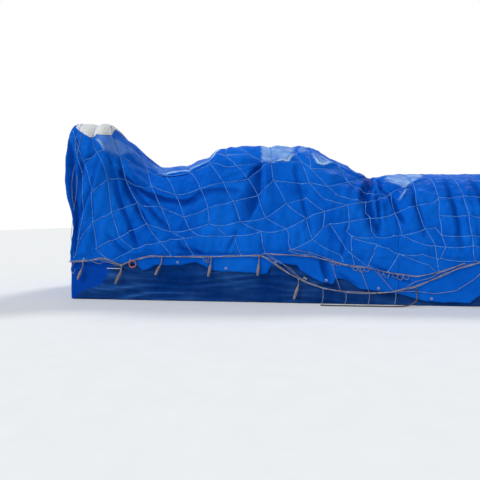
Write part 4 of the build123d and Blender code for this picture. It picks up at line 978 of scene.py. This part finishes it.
# (x, height) along the front's border rope, the net's own edge rope above it, and the back's border rope
FRONT_ROUTE = np.array([
    (-4.246, 0.715), (-3.86, 0.735), (-3.54, 0.78), (-3.38, 0.72), (-3.24, 0.655), (-3.0, 0.745),
    (-2.68, 0.83), (-2.1, 0.824), (-1.55, 0.83), (-1.0, 0.85), (-0.6, 0.862), (-0.35, 0.7), (-0.12, 0.545),
    (0.18, 0.395), (0.53, 0.275), (0.9, 0.225), (1.32, 0.212), (1.7, 0.24), (2.05, 0.33), (2.4, 0.48),
    (2.75, 0.65), (3.15, 0.775), (3.65, 0.805), (4.246, 0.715)])
UPPER_ROUTE = np.array([
    (-0.6, 0.8903), (-0.12, 0.878), (0.3, 0.85), (0.62, 0.77), (0.9, 0.7), (1.25, 0.665), (1.65, 0.57),
    (2.1, 0.515), (2.5, 0.6), (2.9, 0.755)])
BACK_ROUTE = np.array([
    (-4.246, 0.715), (-3.4, 0.83), (-2.6, 0.8), (-1.7, 0.845), (-0.8, 0.815), (0.1, 0.85), (1.0, 0.812),
    (1.9, 0.842), (2.8, 0.805), (3.5, 0.835), (4.246, 0.715)])


def side_line(route, side):
    """The route at even steps along x: height eased between its points, and out from the middle by the
    sheet's own reach there, evened over 25 steps by a bell, plus half the rope."""
    x = np.append(np.arange(route[0, 0], route[-1, 0], ROPE_STEP), route[-1, 0])
    z = eased(x, route, 1, 0.035)
    within = np.clip(x, -END_X, END_X)
    lie = np.abs(cover(within, girth_share(within, np.maximum(z, REACH_FROM), side))[:, 1])
    bell = np.exp(-np.linspace(-2, 2, 25) ** 2)
    lie = np.convolve(np.pad(lie, len(bell) // 2, mode="edge"), bell / bell.sum(), mode="valid")
    return np.stack([x, side * (np.maximum(lie, HEM_HALF) + BORDER_WIDTH / 2), z], -1)


def end_line(side):
    """Across an end, 2 cm lower in the middle, outside the curtain."""
    share = np.linspace(0, 1, 160)
    y, z = -1.326 + 2.652 * share, 0.715 - 0.020 * np.sin(pi * share)
    return np.stack([np.full(160, side * LAST_X), y, z], -1)


def doubled_rope(name, line, width=BORDER_WIDTH):
    """Two thin laid ropes wound loosely round each other: centre +- 0.3 width * (cos a, sin a), where a goes
    round once in each DOUBLE_LAY, a little unevenly."""
    level, rise = steady_frame(line)
    run = run_along(line)
    angle = 2 * pi * run / DOUBLE_LAY + 1.3 * np.sin(run * 1.7)
    across = level * np.cos(angle)[:, None] + rise * np.sin(angle)[:, None]
    strands = [laid_rope(f"{name}_{k}", line + way * across * width * 0.30, width * 0.40, 7)
               for k, way in enumerate((-1, 1))]
    return join_meshes(name, strands)


ropes = {"border_rope_front": doubled_rope("ropes_front", side_line(FRONT_ROUTE, -1)),
         "border_rope_back": doubled_rope("ropes_back", side_line(BACK_ROUTE, 1)),
         "upper_rope_front": doubled_rope("ropes_upper", side_line(UPPER_ROUTE, -1), BORDER_WIDTH * 0.8)}
across_ends = [doubled_rope("end_rope_a", end_line(-1)), doubled_rope("end_rope_b", end_line(1))]
ropes["border_rope_ends"] = join_meshes("ropes_ends", across_ends)
for node, piece in ropes.items():
    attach(piece, BODY)
    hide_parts(node)
    print(piece.name, "triangles", len(piece.data.polygons) * 2)

# %% [markdown]
# Where the net's edge hangs slack it is a tangle of thin ropes: two that fan away from the border rope, ropes
# that tie the two edges to each other, ropes that drop to the ground, and a row of small loops. Each is given
# as (x, height), and stands out from the middle as far as the sheet does, plus a little.

# %% Slack ropes
# (x, height) along each slack rope
SLACK = [
    [(-0.59, 0.85), (-0.36, 0.78), (-0.09, 0.64), (0.08, 0.47), (0.3, 0.345), (0.6, 0.265)],
    [(-0.49, 0.87), (-0.27, 0.75), (-0.06, 0.57), (0.14, 0.42), (0.44, 0.305), (0.74, 0.25)],
    [(-0.11, 0.98), (0.27, 0.92), (0.62, 0.8), (1.02, 0.66), (1.17, 0.66)],
    [(0.65, 0.74), (0.7, 0.52), (0.76, 0.36), (0.8, 0.24)], [(1.12, 0.69), (1.19, 0.5), (1.29, 0.22)],
    [(1.7, 0.25), (1.9, 0.31), (2.08, 0.43), (2.32, 0.49), (2.6, 0.66)],
    [(1.66, 0.24), (2.08, 0.26), (2.4, 0.22), (2.75, 0.28), (3.05, 0.48), (3.34, 0.77)],
    [(1.27, 0.72), (1.48, 0.52), (1.7, 0.26)],
    [(-4.12, 0.71), (-4.19, 0.62), (-4.2, 0.54), (-4.15, 0.48), (-4.11, 0.58)],
    [(-4.16, 0.7), (-3.94, 0.72), (-3.63, 0.8), (-3.52, 0.77)],
    [(-3.63, 0.76), (-3.5, 0.72), (-3.38, 0.68), (-3.22, 0.69)],
    [(-3.8, 0.74), (-3.7, 0.69), (-3.62, 0.68), (-3.52, 0.74)],
    [(-3.46, 0.74), (-3.34, 0.66), (-3.22, 0.64), (-3.1, 0.7)],
    [(-1.67, 0.82), (-1.64, 0.73), (-1.58, 0.76), (-1.56, 0.83)],
    [(-1.62, 0.82), (-1.6, 0.71), (-1.53, 0.75), (-1.5, 0.83)],
    [(2.04, 2.03), (1.97, 1.98), (1.92, 1.92), (1.86, 1.87)],
    [(-4.2, 3.1), (-4.17, 2.7), (-4.1, 2.25), (-4.16, 1.7), (-4.19, 1.2), (-4.14, 0.84)],
    [(-4.09, 3.22), (-4.12, 2.85), (-4.2, 2.4), (-4.19, 1.95), (-4.11, 1.4), (-4.19, 0.95)]]
# x along the net's own edge rope, and drop, of each small loop
LOOPS = [
    (0.6, 0.08), (0.7, 0.06), (1.0, 0.09), (1.1, 0.11), (1.19, 0.08), (1.44, 0.09), (1.53, 0.12),
    (1.68, 0.08), (1.76, 0.11), (1.86, 0.09)]
# x and the start's height of each rope that drops to the ground
DROPS = [(0.49, 0.27), (0.89, 0.235), (1.29, 0.23), (1.74, 0.29)]
# points along the short white strap
STRAP = [(-3.51, -1.307, 0.592), (-3.40, -1.309, 0.588), (-3.22, -1.307, 0.590)]
SLACK_WIDTH, DROP_WIDTH, STRAP_WIDTH = 0.0105, 0.0125, 0.016
OUTSIDE_ROPES = 1.3335          # how far out the slack ropes lie beside the border rope


def loop_places(x, drop):
    """A small loop that hangs from the net's edge rope: down, along and up again."""
    z = float(read_off(UPPER_ROUTE, x))
    return [(x, z), (x + 0.025, z - 0.8 * drop), (x + 0.08, z - drop), (x + 0.11, z - 0.02)]


def slack_line(places):
    """A smooth line through (x, height) places that stands 6 mm clear of the sheet's reach at each of
    them."""
    x, z = np.array(places).T
    dense = np.linspace(0, 1, 5 * len(x))
    x, z = (np.interp(dense, np.linspace(0, 1, len(x)), v) for v in (x, z))
    reach = np.abs(cover(x, girth_share(x, np.maximum(z, REACH_FROM)))[:, 1])
    reach = np.where(z < 0.9, np.maximum(reach, OUTSIDE_ROPES), reach + 0.004)
    return centre_line(np.stack([x, -reach - 0.006, z], -1).tolist(), 3)


def drop_line(x, z):
    """From the border rope down to the ground, a little bent."""
    return centre_line([(x, -1.345, z), (x + 0.004, -1.350, z * 0.6), (x - 0.006, -1.352, z * 0.3),
                        (x - 0.03, -1.362, 0.010)], 8)


SLACK += [loop_places(x, drop) for x, drop in LOOPS]
thin_ropes = [laid_rope(f"slack_{k}", slack_line(places), SLACK_WIDTH, 6)
              for k, places in enumerate(SLACK)]
thin_ropes += [laid_rope(f"drop_{k}", drop_line(x, z), DROP_WIDTH, 6)
               for k, (x, z) in enumerate(DROPS)]
slack = join_meshes("ropes_slack", thin_ropes)
strap = laid_rope("skirt_strap", centre_line(STRAP, 8), STRAP_WIDTH, 8, 2, 9.0)
for piece in (slack, strap):
    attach(piece, BODY)
print("slack ropes", len(thin_ropes), "triangles", len(slack.data.polygons) * 2)

# %% [markdown]
# The fine net is several hundred short ropes between knots. Each runs over the sheet, a little slack, so it
# sags down the slope between its knots. All of them are worked out together: a table of ropes by points along
# them, evaluated on the sheet and lifted by half a rope, then given a six-sided profile in one array.

# %% Net
NET_WIDTH = 0.0145
LINK_POINTS = 11
LINK_CORNERS = 6


def link_lines(links, seed):
    """Points along every link: straight between its knots in (x, t), with a sag of 4 * share * (1 - share)
    down the slope, the more the more level it runs, and a small sideways wander, then put on the sheet."""
    share = np.linspace(0, 1, LINK_POINTS)[None]
    noise = np.random.default_rng(seed).uniform(-1, 1, (2, len(links), 1))
    arch = 4 * share * (1 - share)
    flat_run = np.hypot(links[:, 1, 0] - links[:, 0, 0], (links[:, 1, 1] - links[:, 0, 1]) * GIRTH)[:, None]
    crossing = np.abs(links[:, 1, 0] - links[:, 0, 0])[:, None] / flat_run
    x = links[:, 0, :1] + (links[:, 1, :1] - links[:, 0, :1]) * share + arch * 0.018 * noise[0]
    t = links[:, 0, 1:] + (links[:, 1, 1:] - links[:, 0, 1:]) * share
    downhill = np.where(t < 0.5, -1.0, 1.0)
    t = t + downhill * arch * crossing * flat_run * (0.045 + 0.03 * noise[1]) / GIRTH
    return cover(np.clip(x, -END_X, END_X), t, NET_WIDTH * 0.42)


def net_of(name, lines):
    """One mesh of many thin ropes: each point's ring is width/2 * (cos a * level + sin a * rise), ends
    capped."""
    count, length = lines.shape[:2]
    way = unit(np.gradient(lines, axis=1))
    level = unit(np.cross(way, np.array([0.30, 0.92, 0.25])))
    rise = np.cross(level, way)
    angle = np.linspace(0, 2 * pi, LINK_CORNERS, endpoint=False)
    ring = level[..., None, :] * np.cos(angle)[:, None] + rise[..., None, :] * np.sin(angle)[:, None]
    run = np.linspace(0, 0.45, length)[None, :, None] + np.zeros((count, 1, LINK_CORNERS))
    uv = np.stack([run, np.broadcast_to(angle * NET_WIDTH / 2, run.shape)], -1)
    points = lines[:, :, None] + ring * NET_WIDTH / 2
    piece = mesh_from(name, points, tube_faces(length, LINK_CORNERS, count), uv)
    outwards(piece)
    print(name, "ropes", count, "triangles", sum(len(p.vertices) - 2 for p in piece.data.polygons))
    return piece


net_down = net_of("net_down", link_lines(down_links, 101))
net_across = net_of("net_across", link_lines(across_links, 102))
for piece in (net_down, net_across):
    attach(piece, BODY)
    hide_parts("rope_net")

# %% Net over the ends
END_ROWS = np.array([0.010, 0.075, 0.15, 0.235, 0.33, 0.43])
END_COLUMNS = np.linspace(0.10, 0.90, 6)


def end_lines(side, seed):
    """The net over an end curtain: its knots in rows of t and share, moved a little at random, and lines
    between them that lie on the curtain."""
    rows, columns = np.meshgrid(END_ROWS, END_COLUMNS, indexing="ij")
    moved = np.random.default_rng(seed).uniform(-1, 1, (2, len(END_ROWS), len(END_COLUMNS)))
    knots = np.stack([rows + 0.010 * moved[0] * (rows > 0.02), columns + 0.030 * moved[1]], -1)
    links = np.concatenate([np.stack([knots[:-1], knots[1:]], 2).reshape(-1, 2, 2),
                            np.stack([knots[1:, :-1], knots[1:, 1:]], 2).reshape(-1, 2, 2)])
    along = np.linspace(0, 1, LINK_POINTS)[None]
    up = links[:, 0, :1] + (links[:, 1, :1] - links[:, 0, :1]) * along - 0.010 * np.sin(pi * along)
    share = links[:, 0, 1:] + (links[:, 1, 1:] - links[:, 0, 1:]) * along
    return curtain_at(side, np.clip(up, 0.006, 0.49), share) + [side * 0.006, 0, 0]


net_ends = net_of("net_ends", np.concatenate([end_lines(-1, 201), end_lines(1, 202)]))
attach(net_ends, BODY)

# %% [markdown]
# Each crossing of the net is a small tight knot. A knot is a squashed ball of a few faces, and all of them
# are one mesh. Larger knots hold the tails to the border rope.

# %% Knots
BALL_RINGS, BALL_CORNERS = 5, 7


def knot_bundle(name, centres, size):
    """Many small squashed balls: centre + size * (cos v cos u, cos v sin u, 0.8 sin v), made as one array."""
    u = np.linspace(0, 2 * pi, BALL_CORNERS, endpoint=False)
    v = np.linspace(-pi / 2, pi / 2, BALL_RINGS)[:, None]
    ball = np.stack([np.cos(v) * np.cos(u), np.cos(v) * np.sin(u), 0.8 * np.sin(v) + 0 * u], -1)
    ball[[0, -1]] *= [0, 0, 1]
    one_ball = grid_faces(BALL_RINGS, BALL_CORNERS, closed=True)
    faces = repeated(one_ball, len(centres), BALL_RINGS * BALL_CORNERS)
    piece = mesh_from(name, centres[:, None, None] + ball * size[:, None, None, None], faces)
    outwards(piece, merge=True)
    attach(piece, BODY)
    print(name, len(centres))
    return piece


ends = np.unique(net_links.reshape(-1, 2).round(3), axis=0)
knot_sizes = np.random.default_rng(5).uniform(0.014, 0.020, len(ends))
knots = knot_bundle("net_knots", cover(ends[:, 0], ends[:, 1], 0.010), knot_sizes)
hitches = np.array([(x, side * (HEM_HALF + 0.020), z + 0.012)
                    for side, group in ((-1, FRONT_TAILS), (1, BACK_TAILS)) for x, _, z in group]
                   + [(0.16, -1.352, 0.470), (0.19, -1.350, 0.452)])
tied = knot_bundle("border_knots", hitches, np.full(len(hitches), 0.021))

# %% [markdown]
# A material here is a small tree of nodes: a Principled shader, whose colour is a blend of a few plain
# colours by noise, and whose bumps are small heights. It could be drawn node by node in the editor. These
# helpers add and link the nodes instead, so that each finish below reads as a short recipe.

# %% Material helpers


def new_finish(name, **shader):
    """A material with one Principled shader, whose constant sockets are set here."""
    finish = bpy.data.materials.new(name)
    finish.use_nodes = True
    finish.node_tree.nodes.clear()
    constants = {key.replace("_", " "): value for key, value in shader.items()}
    principled = add(finish, "BsdfPrincipled", constants)
    add(finish, "OutputMaterial", {0: principled.outputs[0]})
    return finish, principled


def add(owner, kind, inputs, **settings):
    """Add a node of this kind, set its properties, and fill or link its inputs."""
    node = owner.node_tree.nodes.new("ShaderNode" + kind)
    for key, value in settings.items():
        setattr(node, key, value)
    for key, value in inputs.items():
        if isinstance(value, bpy.types.NodeSocket):
            owner.node_tree.links.new(value, node.inputs[key])
        else:
            node.inputs[key].default_value = value
    return node


def coordinates(finish, kind="Object", stretch=(1, 1, 1)):
    """Object or UV coordinates, stretched along each axis."""
    source = add(finish, "TexCoord", {})
    return add(finish, "Mapping", {"Vector": source.outputs[kind], "Scale": stretch}).outputs[0]


def noise_on(finish, vector, scale, detail, roughness, kind="FBM"):
    """Noise at these coordinates."""
    inputs = {"Vector": vector, "Scale": scale, "Detail": detail, "Roughness": roughness}
    return add(finish, "TexNoise", inputs, noise_type=kind).outputs[0]


def steps(finish, factor, *stops):
    """A colour ramp: stops are (place, grey or colour)."""
    ramp = add(finish, "ValToRGB", {"Fac": factor})
    elements = ramp.color_ramp.elements
    while len(elements) < len(stops):
        elements.new(0.5)
    for element, (place, colour) in zip(elements, stops):
        element.position = place
        element.color = (*colour, 1) if isinstance(colour, tuple) else (colour, colour, colour, 1)
    return ramp.outputs[0]


def blend_colours(finish, factor, a, b):
    """Mix two colours, each a socket or an (r, g, b)."""
    a, b = ((*value, 1) if isinstance(value, tuple) else value for value in (a, b))
    return add(finish, "Mix", {0: factor, 6: a, 7: b}, data_type="RGBA").outputs[2]


def bumps(finish, principled, *layers):
    """Bump nodes one on another: layers are (height, distance in metres, strength)."""
    under = {}
    for height, distance, strength in layers:
        bump = add(finish, "Bump", {"Height": height, "Distance": distance, "Strength": strength, **under})
        under = {"Normal": bump.outputs[0]}
    finish.node_tree.links.new(under["Normal"], principled.inputs["Normal"])


def paint_on(finish, principled, colour, roughness=None):
    """Link a colour to the shader, and a roughness where one is given."""
    finish.node_tree.links.new(colour, principled.inputs["Base Color"])
    if roughness is not None:
        finish.node_tree.links.new(roughness, principled.inputs["Roughness"])


def give(finish, *pieces):
    """Give these pieces the finish."""
    for piece in pieces:
        piece.data.materials.append(finish)


print("material helpers ready")

# %% [markdown]
# Woven polyethylene sheet is a bright plastic film over a coarse weave: nearly matt once the sun has been at
# it, faded, dusty in streaks down the sides, and finely crumpled. Its weave follows the sheet, so it reads
# the flat UV map; the painted shade in its folds and its painted sunlit places and highlights read the
# numbers stored with the mesh, and the large stains read Object coordinates.

# %% Woven sheets
WEAVE = 78.0                    # the wave texture's scale that gives threads 4 mm apart


def woven_sheet(name, deep, faded, shade, pale, rim, dust, dust_share, gloss, pale_layer="bleached", crest=0.0,
                stretch=(1.0, 1.0, 1.0)):
    """Film over weave: faded patches, paler on the crowns of the crumples, painted shade that darkens the
    folds by their depth, a painted highlight on the fold crests where crest is given, a pale layer read from
    the named attribute with its rims, dust in streaks and specks, crumples and the weave. On the cover the
    pale layer is painted sunlight and its rims painted highlights; on the skirt it is the newer panel."""
    finish, principled = new_finish(name, Specular_IOR_Level=0.010, Specular_Tint=(0.10, 0.55, 1.0, 1.0))
    place, flat = coordinates(finish), coordinates(finish, "UV")
    fold_depth, sun = (add(finish, "Attribute", {}, attribute_name=layer).outputs["Fac"]
                       for layer in ("fold_depth", pale_layer))
    patches = steps(finish, noise_on(finish, place, 1.3, 6.0, 0.62), (0.34, 0.0), (0.68, 1.0))
    crumple = noise_on(finish, coordinates(finish, "Object", stretch), 4.6, 4.0, 0.5, "RIDGED_MULTIFRACTAL")
    broad = noise_on(finish, coordinates(finish, "Object", (1.0, 1.6, 0.7)), 4.0, 3.0, 0.5)
    mottled = steps(finish, broad, (0.34, 0.35), (0.62, 1.0))
    down = noise_on(finish, coordinates(finish, "Object", (5.0, 5.0, 0.5)), 1.6, 5.0, 0.6)
    specks = noise_on(finish, place, 34.0, 3.0, 0.5)
    colour = blend_colours(finish, patches, deep, faded)
    # painted light in the colour: by fold depth, painted shade in the folds and, where crest is given, a
    # painted highlight on the crests; the pale layer is painted sunlight with painted highlights on its rims
    # on the cover, and the newer panel on the skirt
    for share, layer in ((steps(finish, crumple, (0.62, 0.0), (0.98, 0.55)), faded),
                         (steps(finish, fold_depth, (0.05, 0.0), (0.90, 0.82)), shade),
                         (steps(finish, fold_depth, (0.0, crest), (0.22, 0.0)), faded),
                         (add(finish, "Math", {0: sun, 1: mottled}, operation="MULTIPLY").outputs[0], pale),
                         (steps(finish, sun, (0.82, 0.0), (1.0, 0.85)), rim),
                         (steps(finish, down, (0.50, 0.0), (0.80, dust_share)), dust),
                         (steps(finish, specks, (0.62, 0.0), (0.74, dust_share)), dust)):
        colour = blend_colours(finish, share, colour, layer)
    paint_on(finish, principled, colour, steps(finish, crumple, (0.45, gloss[0]), (0.95, gloss[1])))
    warp, weft = (add(finish, "TexWave", {"Vector": flat, "Scale": WEAVE, "Distortion": 0.2},
                      bands_direction=way).outputs[1] for way in "XY")
    weave = add(finish, "Math", {0: warp, 1: weft}, operation="MULTIPLY").outputs[0]
    fine = noise_on(finish, place, 21.0, 4.0, 0.6)
    bumps(finish, principled, (crumple, 0.022, 0.7), (fine, 0.005, 0.5), (weave, 0.0004, 0.5))
    return finish


# the cover's pale and rim are the colours of its painted sunlit places and painted highlights, and shade that
# of the painted shade in its folds
cover_blue = woven_sheet("cover_blue", deep=(0.0012, 0.086, 0.51), faded=(0.004, 0.138, 0.66),
                         shade=(0.0006, 0.028, 0.25), pale=(0.30, 0.50, 0.80), rim=(0.52, 0.70, 0.88),
                         dust=(0.02, 0.18, 0.58), dust_share=0.08, gloss=(0.40, 0.60))
# the skirt's pale places are the newer panel at its left end; its shade is painted shade in the troughs of
# its folds, and crest a painted highlight on their crests
skirt_navy = woven_sheet("skirt_navy", deep=(0.0024, 0.042, 0.220), faded=(0.030, 0.125, 0.400),
                         shade=(0.0010, 0.018, 0.12), pale=(0.0016, 0.060, 0.42), rim=(0.0016, 0.060, 0.42),
                         dust=(0.04, 0.12, 0.28), dust_share=0.10, gloss=(0.42, 0.60), pale_layer="newer",
                         crest=0.8, stretch=(0.30, 0.30, 2.6))
give(cover_blue, *cover_sheets)
give(skirt_navy, *skirts)
print("woven sheets finished")

# %% [markdown]
# The bleached sheet has lost its colour and taken up dirt: brown stains with soft edges and small dark
# specks, most of them where water stood.

# %% Bleached sheet's finish
bleached, principled = new_finish("bleached_stained", Specular_IOR_Level=0.35)
place = coordinates(bleached)
stains = steps(bleached, noise_on(bleached, place, 6.0, 8.0, 0.7), (0.50, 0.0), (0.72, 0.7))
specks = steps(bleached, noise_on(bleached, place, 40.0, 4.0, 0.6), (0.60, 0.0), (0.70, 0.85))
colour = blend_colours(bleached, stains, (0.72, 0.72, 0.72), (0.36, 0.29, 0.21))
colour = blend_colours(bleached, specks, colour, (0.16, 0.12, 0.09))
paint_on(bleached, principled, colour, steps(bleached, stains, (0.0, 0.55), (1.0, 0.85)))
bumps(bleached, principled, (noise_on(bleached, place, 14.0, 4.0, 0.6), 0.006, 0.6))
give(bleached, white)
print("bleached sheet finished")

# %% [markdown]
# A weathered rope has fine fibres along its strands and dirt in its grooves. The pattern follows the rope, so
# it reads the UV map, whose first number is the length along the rope in metres.

# %% Rope finishes


def rope_finish(name, light, dark, fuzz=0.35):
    """Fibres run slanting along the rope; colour goes from light crowns to dark grooves and patches."""
    finish, principled = new_finish(name, Roughness=0.86, Specular_IOR_Level=0.25, Sheen_Weight=fuzz)
    fibres = noise_on(finish, coordinates(finish, "UV", (26.0, 260.0, 1.0)), 3.0, 5.0, 0.65)
    patches = noise_on(finish, coordinates(finish), 9.0, 4.0, 0.6)
    colour = blend_colours(finish, steps(finish, patches, (0.36, 0.0), (0.66, 1.0)), light, dark)
    colour = blend_colours(finish, steps(finish, fibres, (0.40, 0.0), (0.75, 0.6)), colour, dark)
    paint_on(finish, principled, colour)
    bumps(finish, principled, (fibres, 0.0015, 0.8))
    return finish


give(rope_finish("border_rope_grey", (0.46, 0.42, 0.45), (0.17, 0.15, 0.18)), *ropes.values(), tied)
give(rope_finish("slack_rope_grey", (0.24, 0.31, 0.48), (0.12, 0.15, 0.26)), slack)
give(rope_finish("tail_rope_brown", (0.36, 0.275, 0.275), (0.14, 0.105, 0.11)), *tails)
give(rope_finish("fallen_rope_brown", (0.12, 0.09, 0.09), (0.05, 0.04, 0.045)), fallen)
give(rope_finish("net_rope_pale", (0.11, 0.35, 0.82), (0.03, 0.17, 0.58), 0.0),
     net_down, net_across, net_ends, knots)
give(rope_finish("strap_white", (0.66, 0.72, 0.82), (0.46, 0.54, 0.68)), strap)
print("ropes finished")

# %% [markdown]
# The halves of the casing and of the gearbox are held together by a row of bolts along each side of the
# joint. A bolt shows as a hexagonal nut with the end of its stud standing out. Each is two short prisms, made
# from one table of corners by places, and all of them are one mesh.

# %% Joint bolts
CASING_JOINT_Z, GEARBOX_JOINT_Z = 1.910, 1.690      # the tops of the two joint flanges
# places along a row, its distance from the middle, and its height
BOLT_ROWS = [(np.arange(-3.24, -2.80, 0.105), 0.605, CASING_JOINT_Z),
             (np.arange(-2.56, -1.60, 0.105), 0.845, CASING_JOINT_Z),
             (np.arange(0.76, 1.50, 0.115), 0.780, GEARBOX_JOINT_Z)]


def prism(corners, radius, low, high):
    """Points of an upright prism about (0, 0): its foot ring, then its top ring."""
    angle = np.linspace(0, 2 * pi, corners, endpoint=False)
    ring = np.stack([radius * np.cos(angle), radius * np.sin(angle)], -1)
    return np.concatenate([np.column_stack([ring, np.full(corners, z)]) for z in (low, high)])


def prism_faces(corners, start):
    """Its sides, then its two ends."""
    turn = [(k, (k + 1) % corners) for k in range(corners)]
    sides = [[start + a, start + b, start + corners + b, start + corners + a] for a, b in turn]
    return sides + [[start + k for k in range(corners)][::-1], [start + corners + k for k in range(corners)]]


bolt_places = np.array([(x, side * y, z) for along, y, z in BOLT_ROWS for side in (-1, 1) for x in along])
one_bolt = np.concatenate([prism(6, 0.030, -0.001, 0.036), prism(8, 0.017, 0.030, 0.056)])
bolt_faces = prism_faces(6, 0) + prism_faces(8, 12)
faces = [[k * len(one_bolt) + c for c in face] for k in range(len(bolt_places)) for face in bolt_faces]
bolts = mesh_from("joint_bolts", bolt_places[:, None] + one_bolt, faces)
outwards(bolts)
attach(bolts, BODY)
print("joint bolts", len(bolt_places))

# %% [markdown]
# Under the sheets the machine is painted steel and iron. Its pieces are the CAD solids, whose shapes are
# right, and each gets a paint with dust, small chips that show rust, and the slight orange peel of a brush.

# %% Machine finishes
RUST = (0.22, 0.08, 0.03)
# for each slot: name, paint, colour of its chips, roughness, how much is chipped, and metallic
PAINTS = {"frame_paint": ("frame_black", (0.05, 0.06, 0.07), RUST, 0.55, 0.3, 0.0),
          "deck_steel": ("deck_grey", (0.16, 0.17, 0.18), RUST, 0.6, 0.9, 0.0),
          "cast_casing": ("casing_heat_paint", (0.20, 0.21, 0.22), (0.26, 0.12, 0.06), 0.5, 0.6, 0.0),
          "machine_paint": ("machine_green", (0.18, 0.32, 0.30), RUST, 0.4, 0.3, 0.0),
          "generator_paint": ("generator_blue", (0.12, 0.25, 0.42), RUST, 0.4, 0.3, 0.0),
          "guard_paint": ("guard_yellow", (0.75, 0.55, 0.08), RUST, 0.4, 0.4, 0.0),
          "bright_steel": ("stand_steel", (0.55, 0.55, 0.56), RUST, 0.32, 0.2, 0.9),
          "ring_paint": ("ring_red", (0.36, 0.10, 0.07), RUST, 0.5, 0.5, 0.0)}


def painted_steel(name, colour, chipped, roughness, rust, metallic):
    """Paint over steel: slow colour change, chips where fine noise is high, rust in the chips."""
    finish, principled = new_finish(name, Metallic=metallic, Specular_IOR_Level=0.5)
    place = coordinates(finish)
    slow = steps(finish, noise_on(finish, place, 2.2, 5.0, 0.6), (0.35, 0.0), (0.70, 1.0))
    start = 0.66 - rust * 0.15
    chips = steps(finish, noise_on(finish, place, 19.0, 8.0, 0.72), (start, 0.0), (start + 0.04, 1.0))
    base = blend_colours(finish, slow, colour, tuple(c * 0.62 + 0.05 for c in colour))
    base = blend_colours(finish, chips, base, chipped)
    paint_on(finish, principled, base, blend_colours(finish, chips, (roughness,) * 3, (0.85,) * 3))
    bumps(finish, principled, (chips, -0.0006, 0.6), (noise_on(finish, place, 120.0, 3.0, 0.5), 0.0004, 0.35))
    return finish


paints = {slot: painted_steel(*recipe) for slot, recipe in PAINTS.items()}
give(paints["bright_steel"], eyelets, bolts)
slot_of = {part["node"]: part["material_slot"] for part in frame["record"]["subparts"]}
to_paint = [node for node in frame["nodes"] if slot_of.get(node) in paints]
for node in to_paint:
    frame["nodes"][node].data.materials.clear()
    give(paints[slot_of[node]], frame["nodes"][node])
print("CAD nodes painted", len(to_paint))

# %% [markdown]
# A plain pale floor takes the shadow, and the background is white where the camera or a reflection meets it.
# The photograph's sun stood high behind the set, and the near side was lit by open sky. Two wide soft suns do
# the same: a strong one for the sky at the front left, and a weaker one high behind. An even sky, which only
# lights, fills the rest.

# %% Floor and light
FLOOR = np.array([(-40.0, -30.0, 0.0), (40.0, -30.0, 0.0), (40.0, 60.0, 0.0), (-40.0, 60.0, 0.0)])
floor = mesh_from("floor", FLOOR, [[0, 1, 2, 3]])
floor_pale, principled = new_finish("floor_pale", Roughness=0.9, Specular_IOR_Level=0.1)
grain = noise_on(floor_pale, coordinates(floor_pale), 3.0, 6.0, 0.6)
paint_on(floor_pale, principled, blend_colours(floor_pale, grain, (0.80, 0.80, 0.79), (0.86, 0.86, 0.85)))
give(floor_pale, floor)

world = bpy.data.worlds.new("studio")
bpy.context.scene.world = world
world.use_nodes = True
world.node_tree.nodes.clear()
rays = add(world, "LightPath", {}).outputs
seen = rays["Is Camera Ray"]
for kind in ("Is Glossy Ray", "Is Transmission Ray"):
    seen = add(world, "Math", {0: seen, 1: rays[kind]}, operation="MAXIMUM").outputs[0]
even_sky = add(world, "Background", {0: (0.86, 0.92, 1.0, 1), 1: 0.34})
white_page = add(world, "Background", {0: (1, 1, 1, 1), 1: 1.0})
chosen = add(world, "MixShader", {0: seen, 1: even_sky.outputs[0], 2: white_page.outputs[0]})
add(world, "OutputWorld", {0: chosen.outputs[0]})


def sun(name, power, towards, spread, colour):
    """A sun whose light comes from this direction, as wide in the sky as the spread, in degrees."""
    data = bpy.data.lights.new(name, "SUN")
    data.energy = power
    data.angle = radians(spread)
    data.color = colour
    light = into_scene(name, data)
    light.rotation_euler = Vector(towards).to_track_quat("Z", "Y").to_euler()
    light.location = (0, 0, 6)


sun("open_sky", 2.1, (-0.62, -0.48, 0.72), 34, (0.95, 0.98, 1.0))
sun("high_sun", 1.2, (0.38, 0.50, 0.80), 14, (1.0, 0.97, 0.92))
print("light ready")
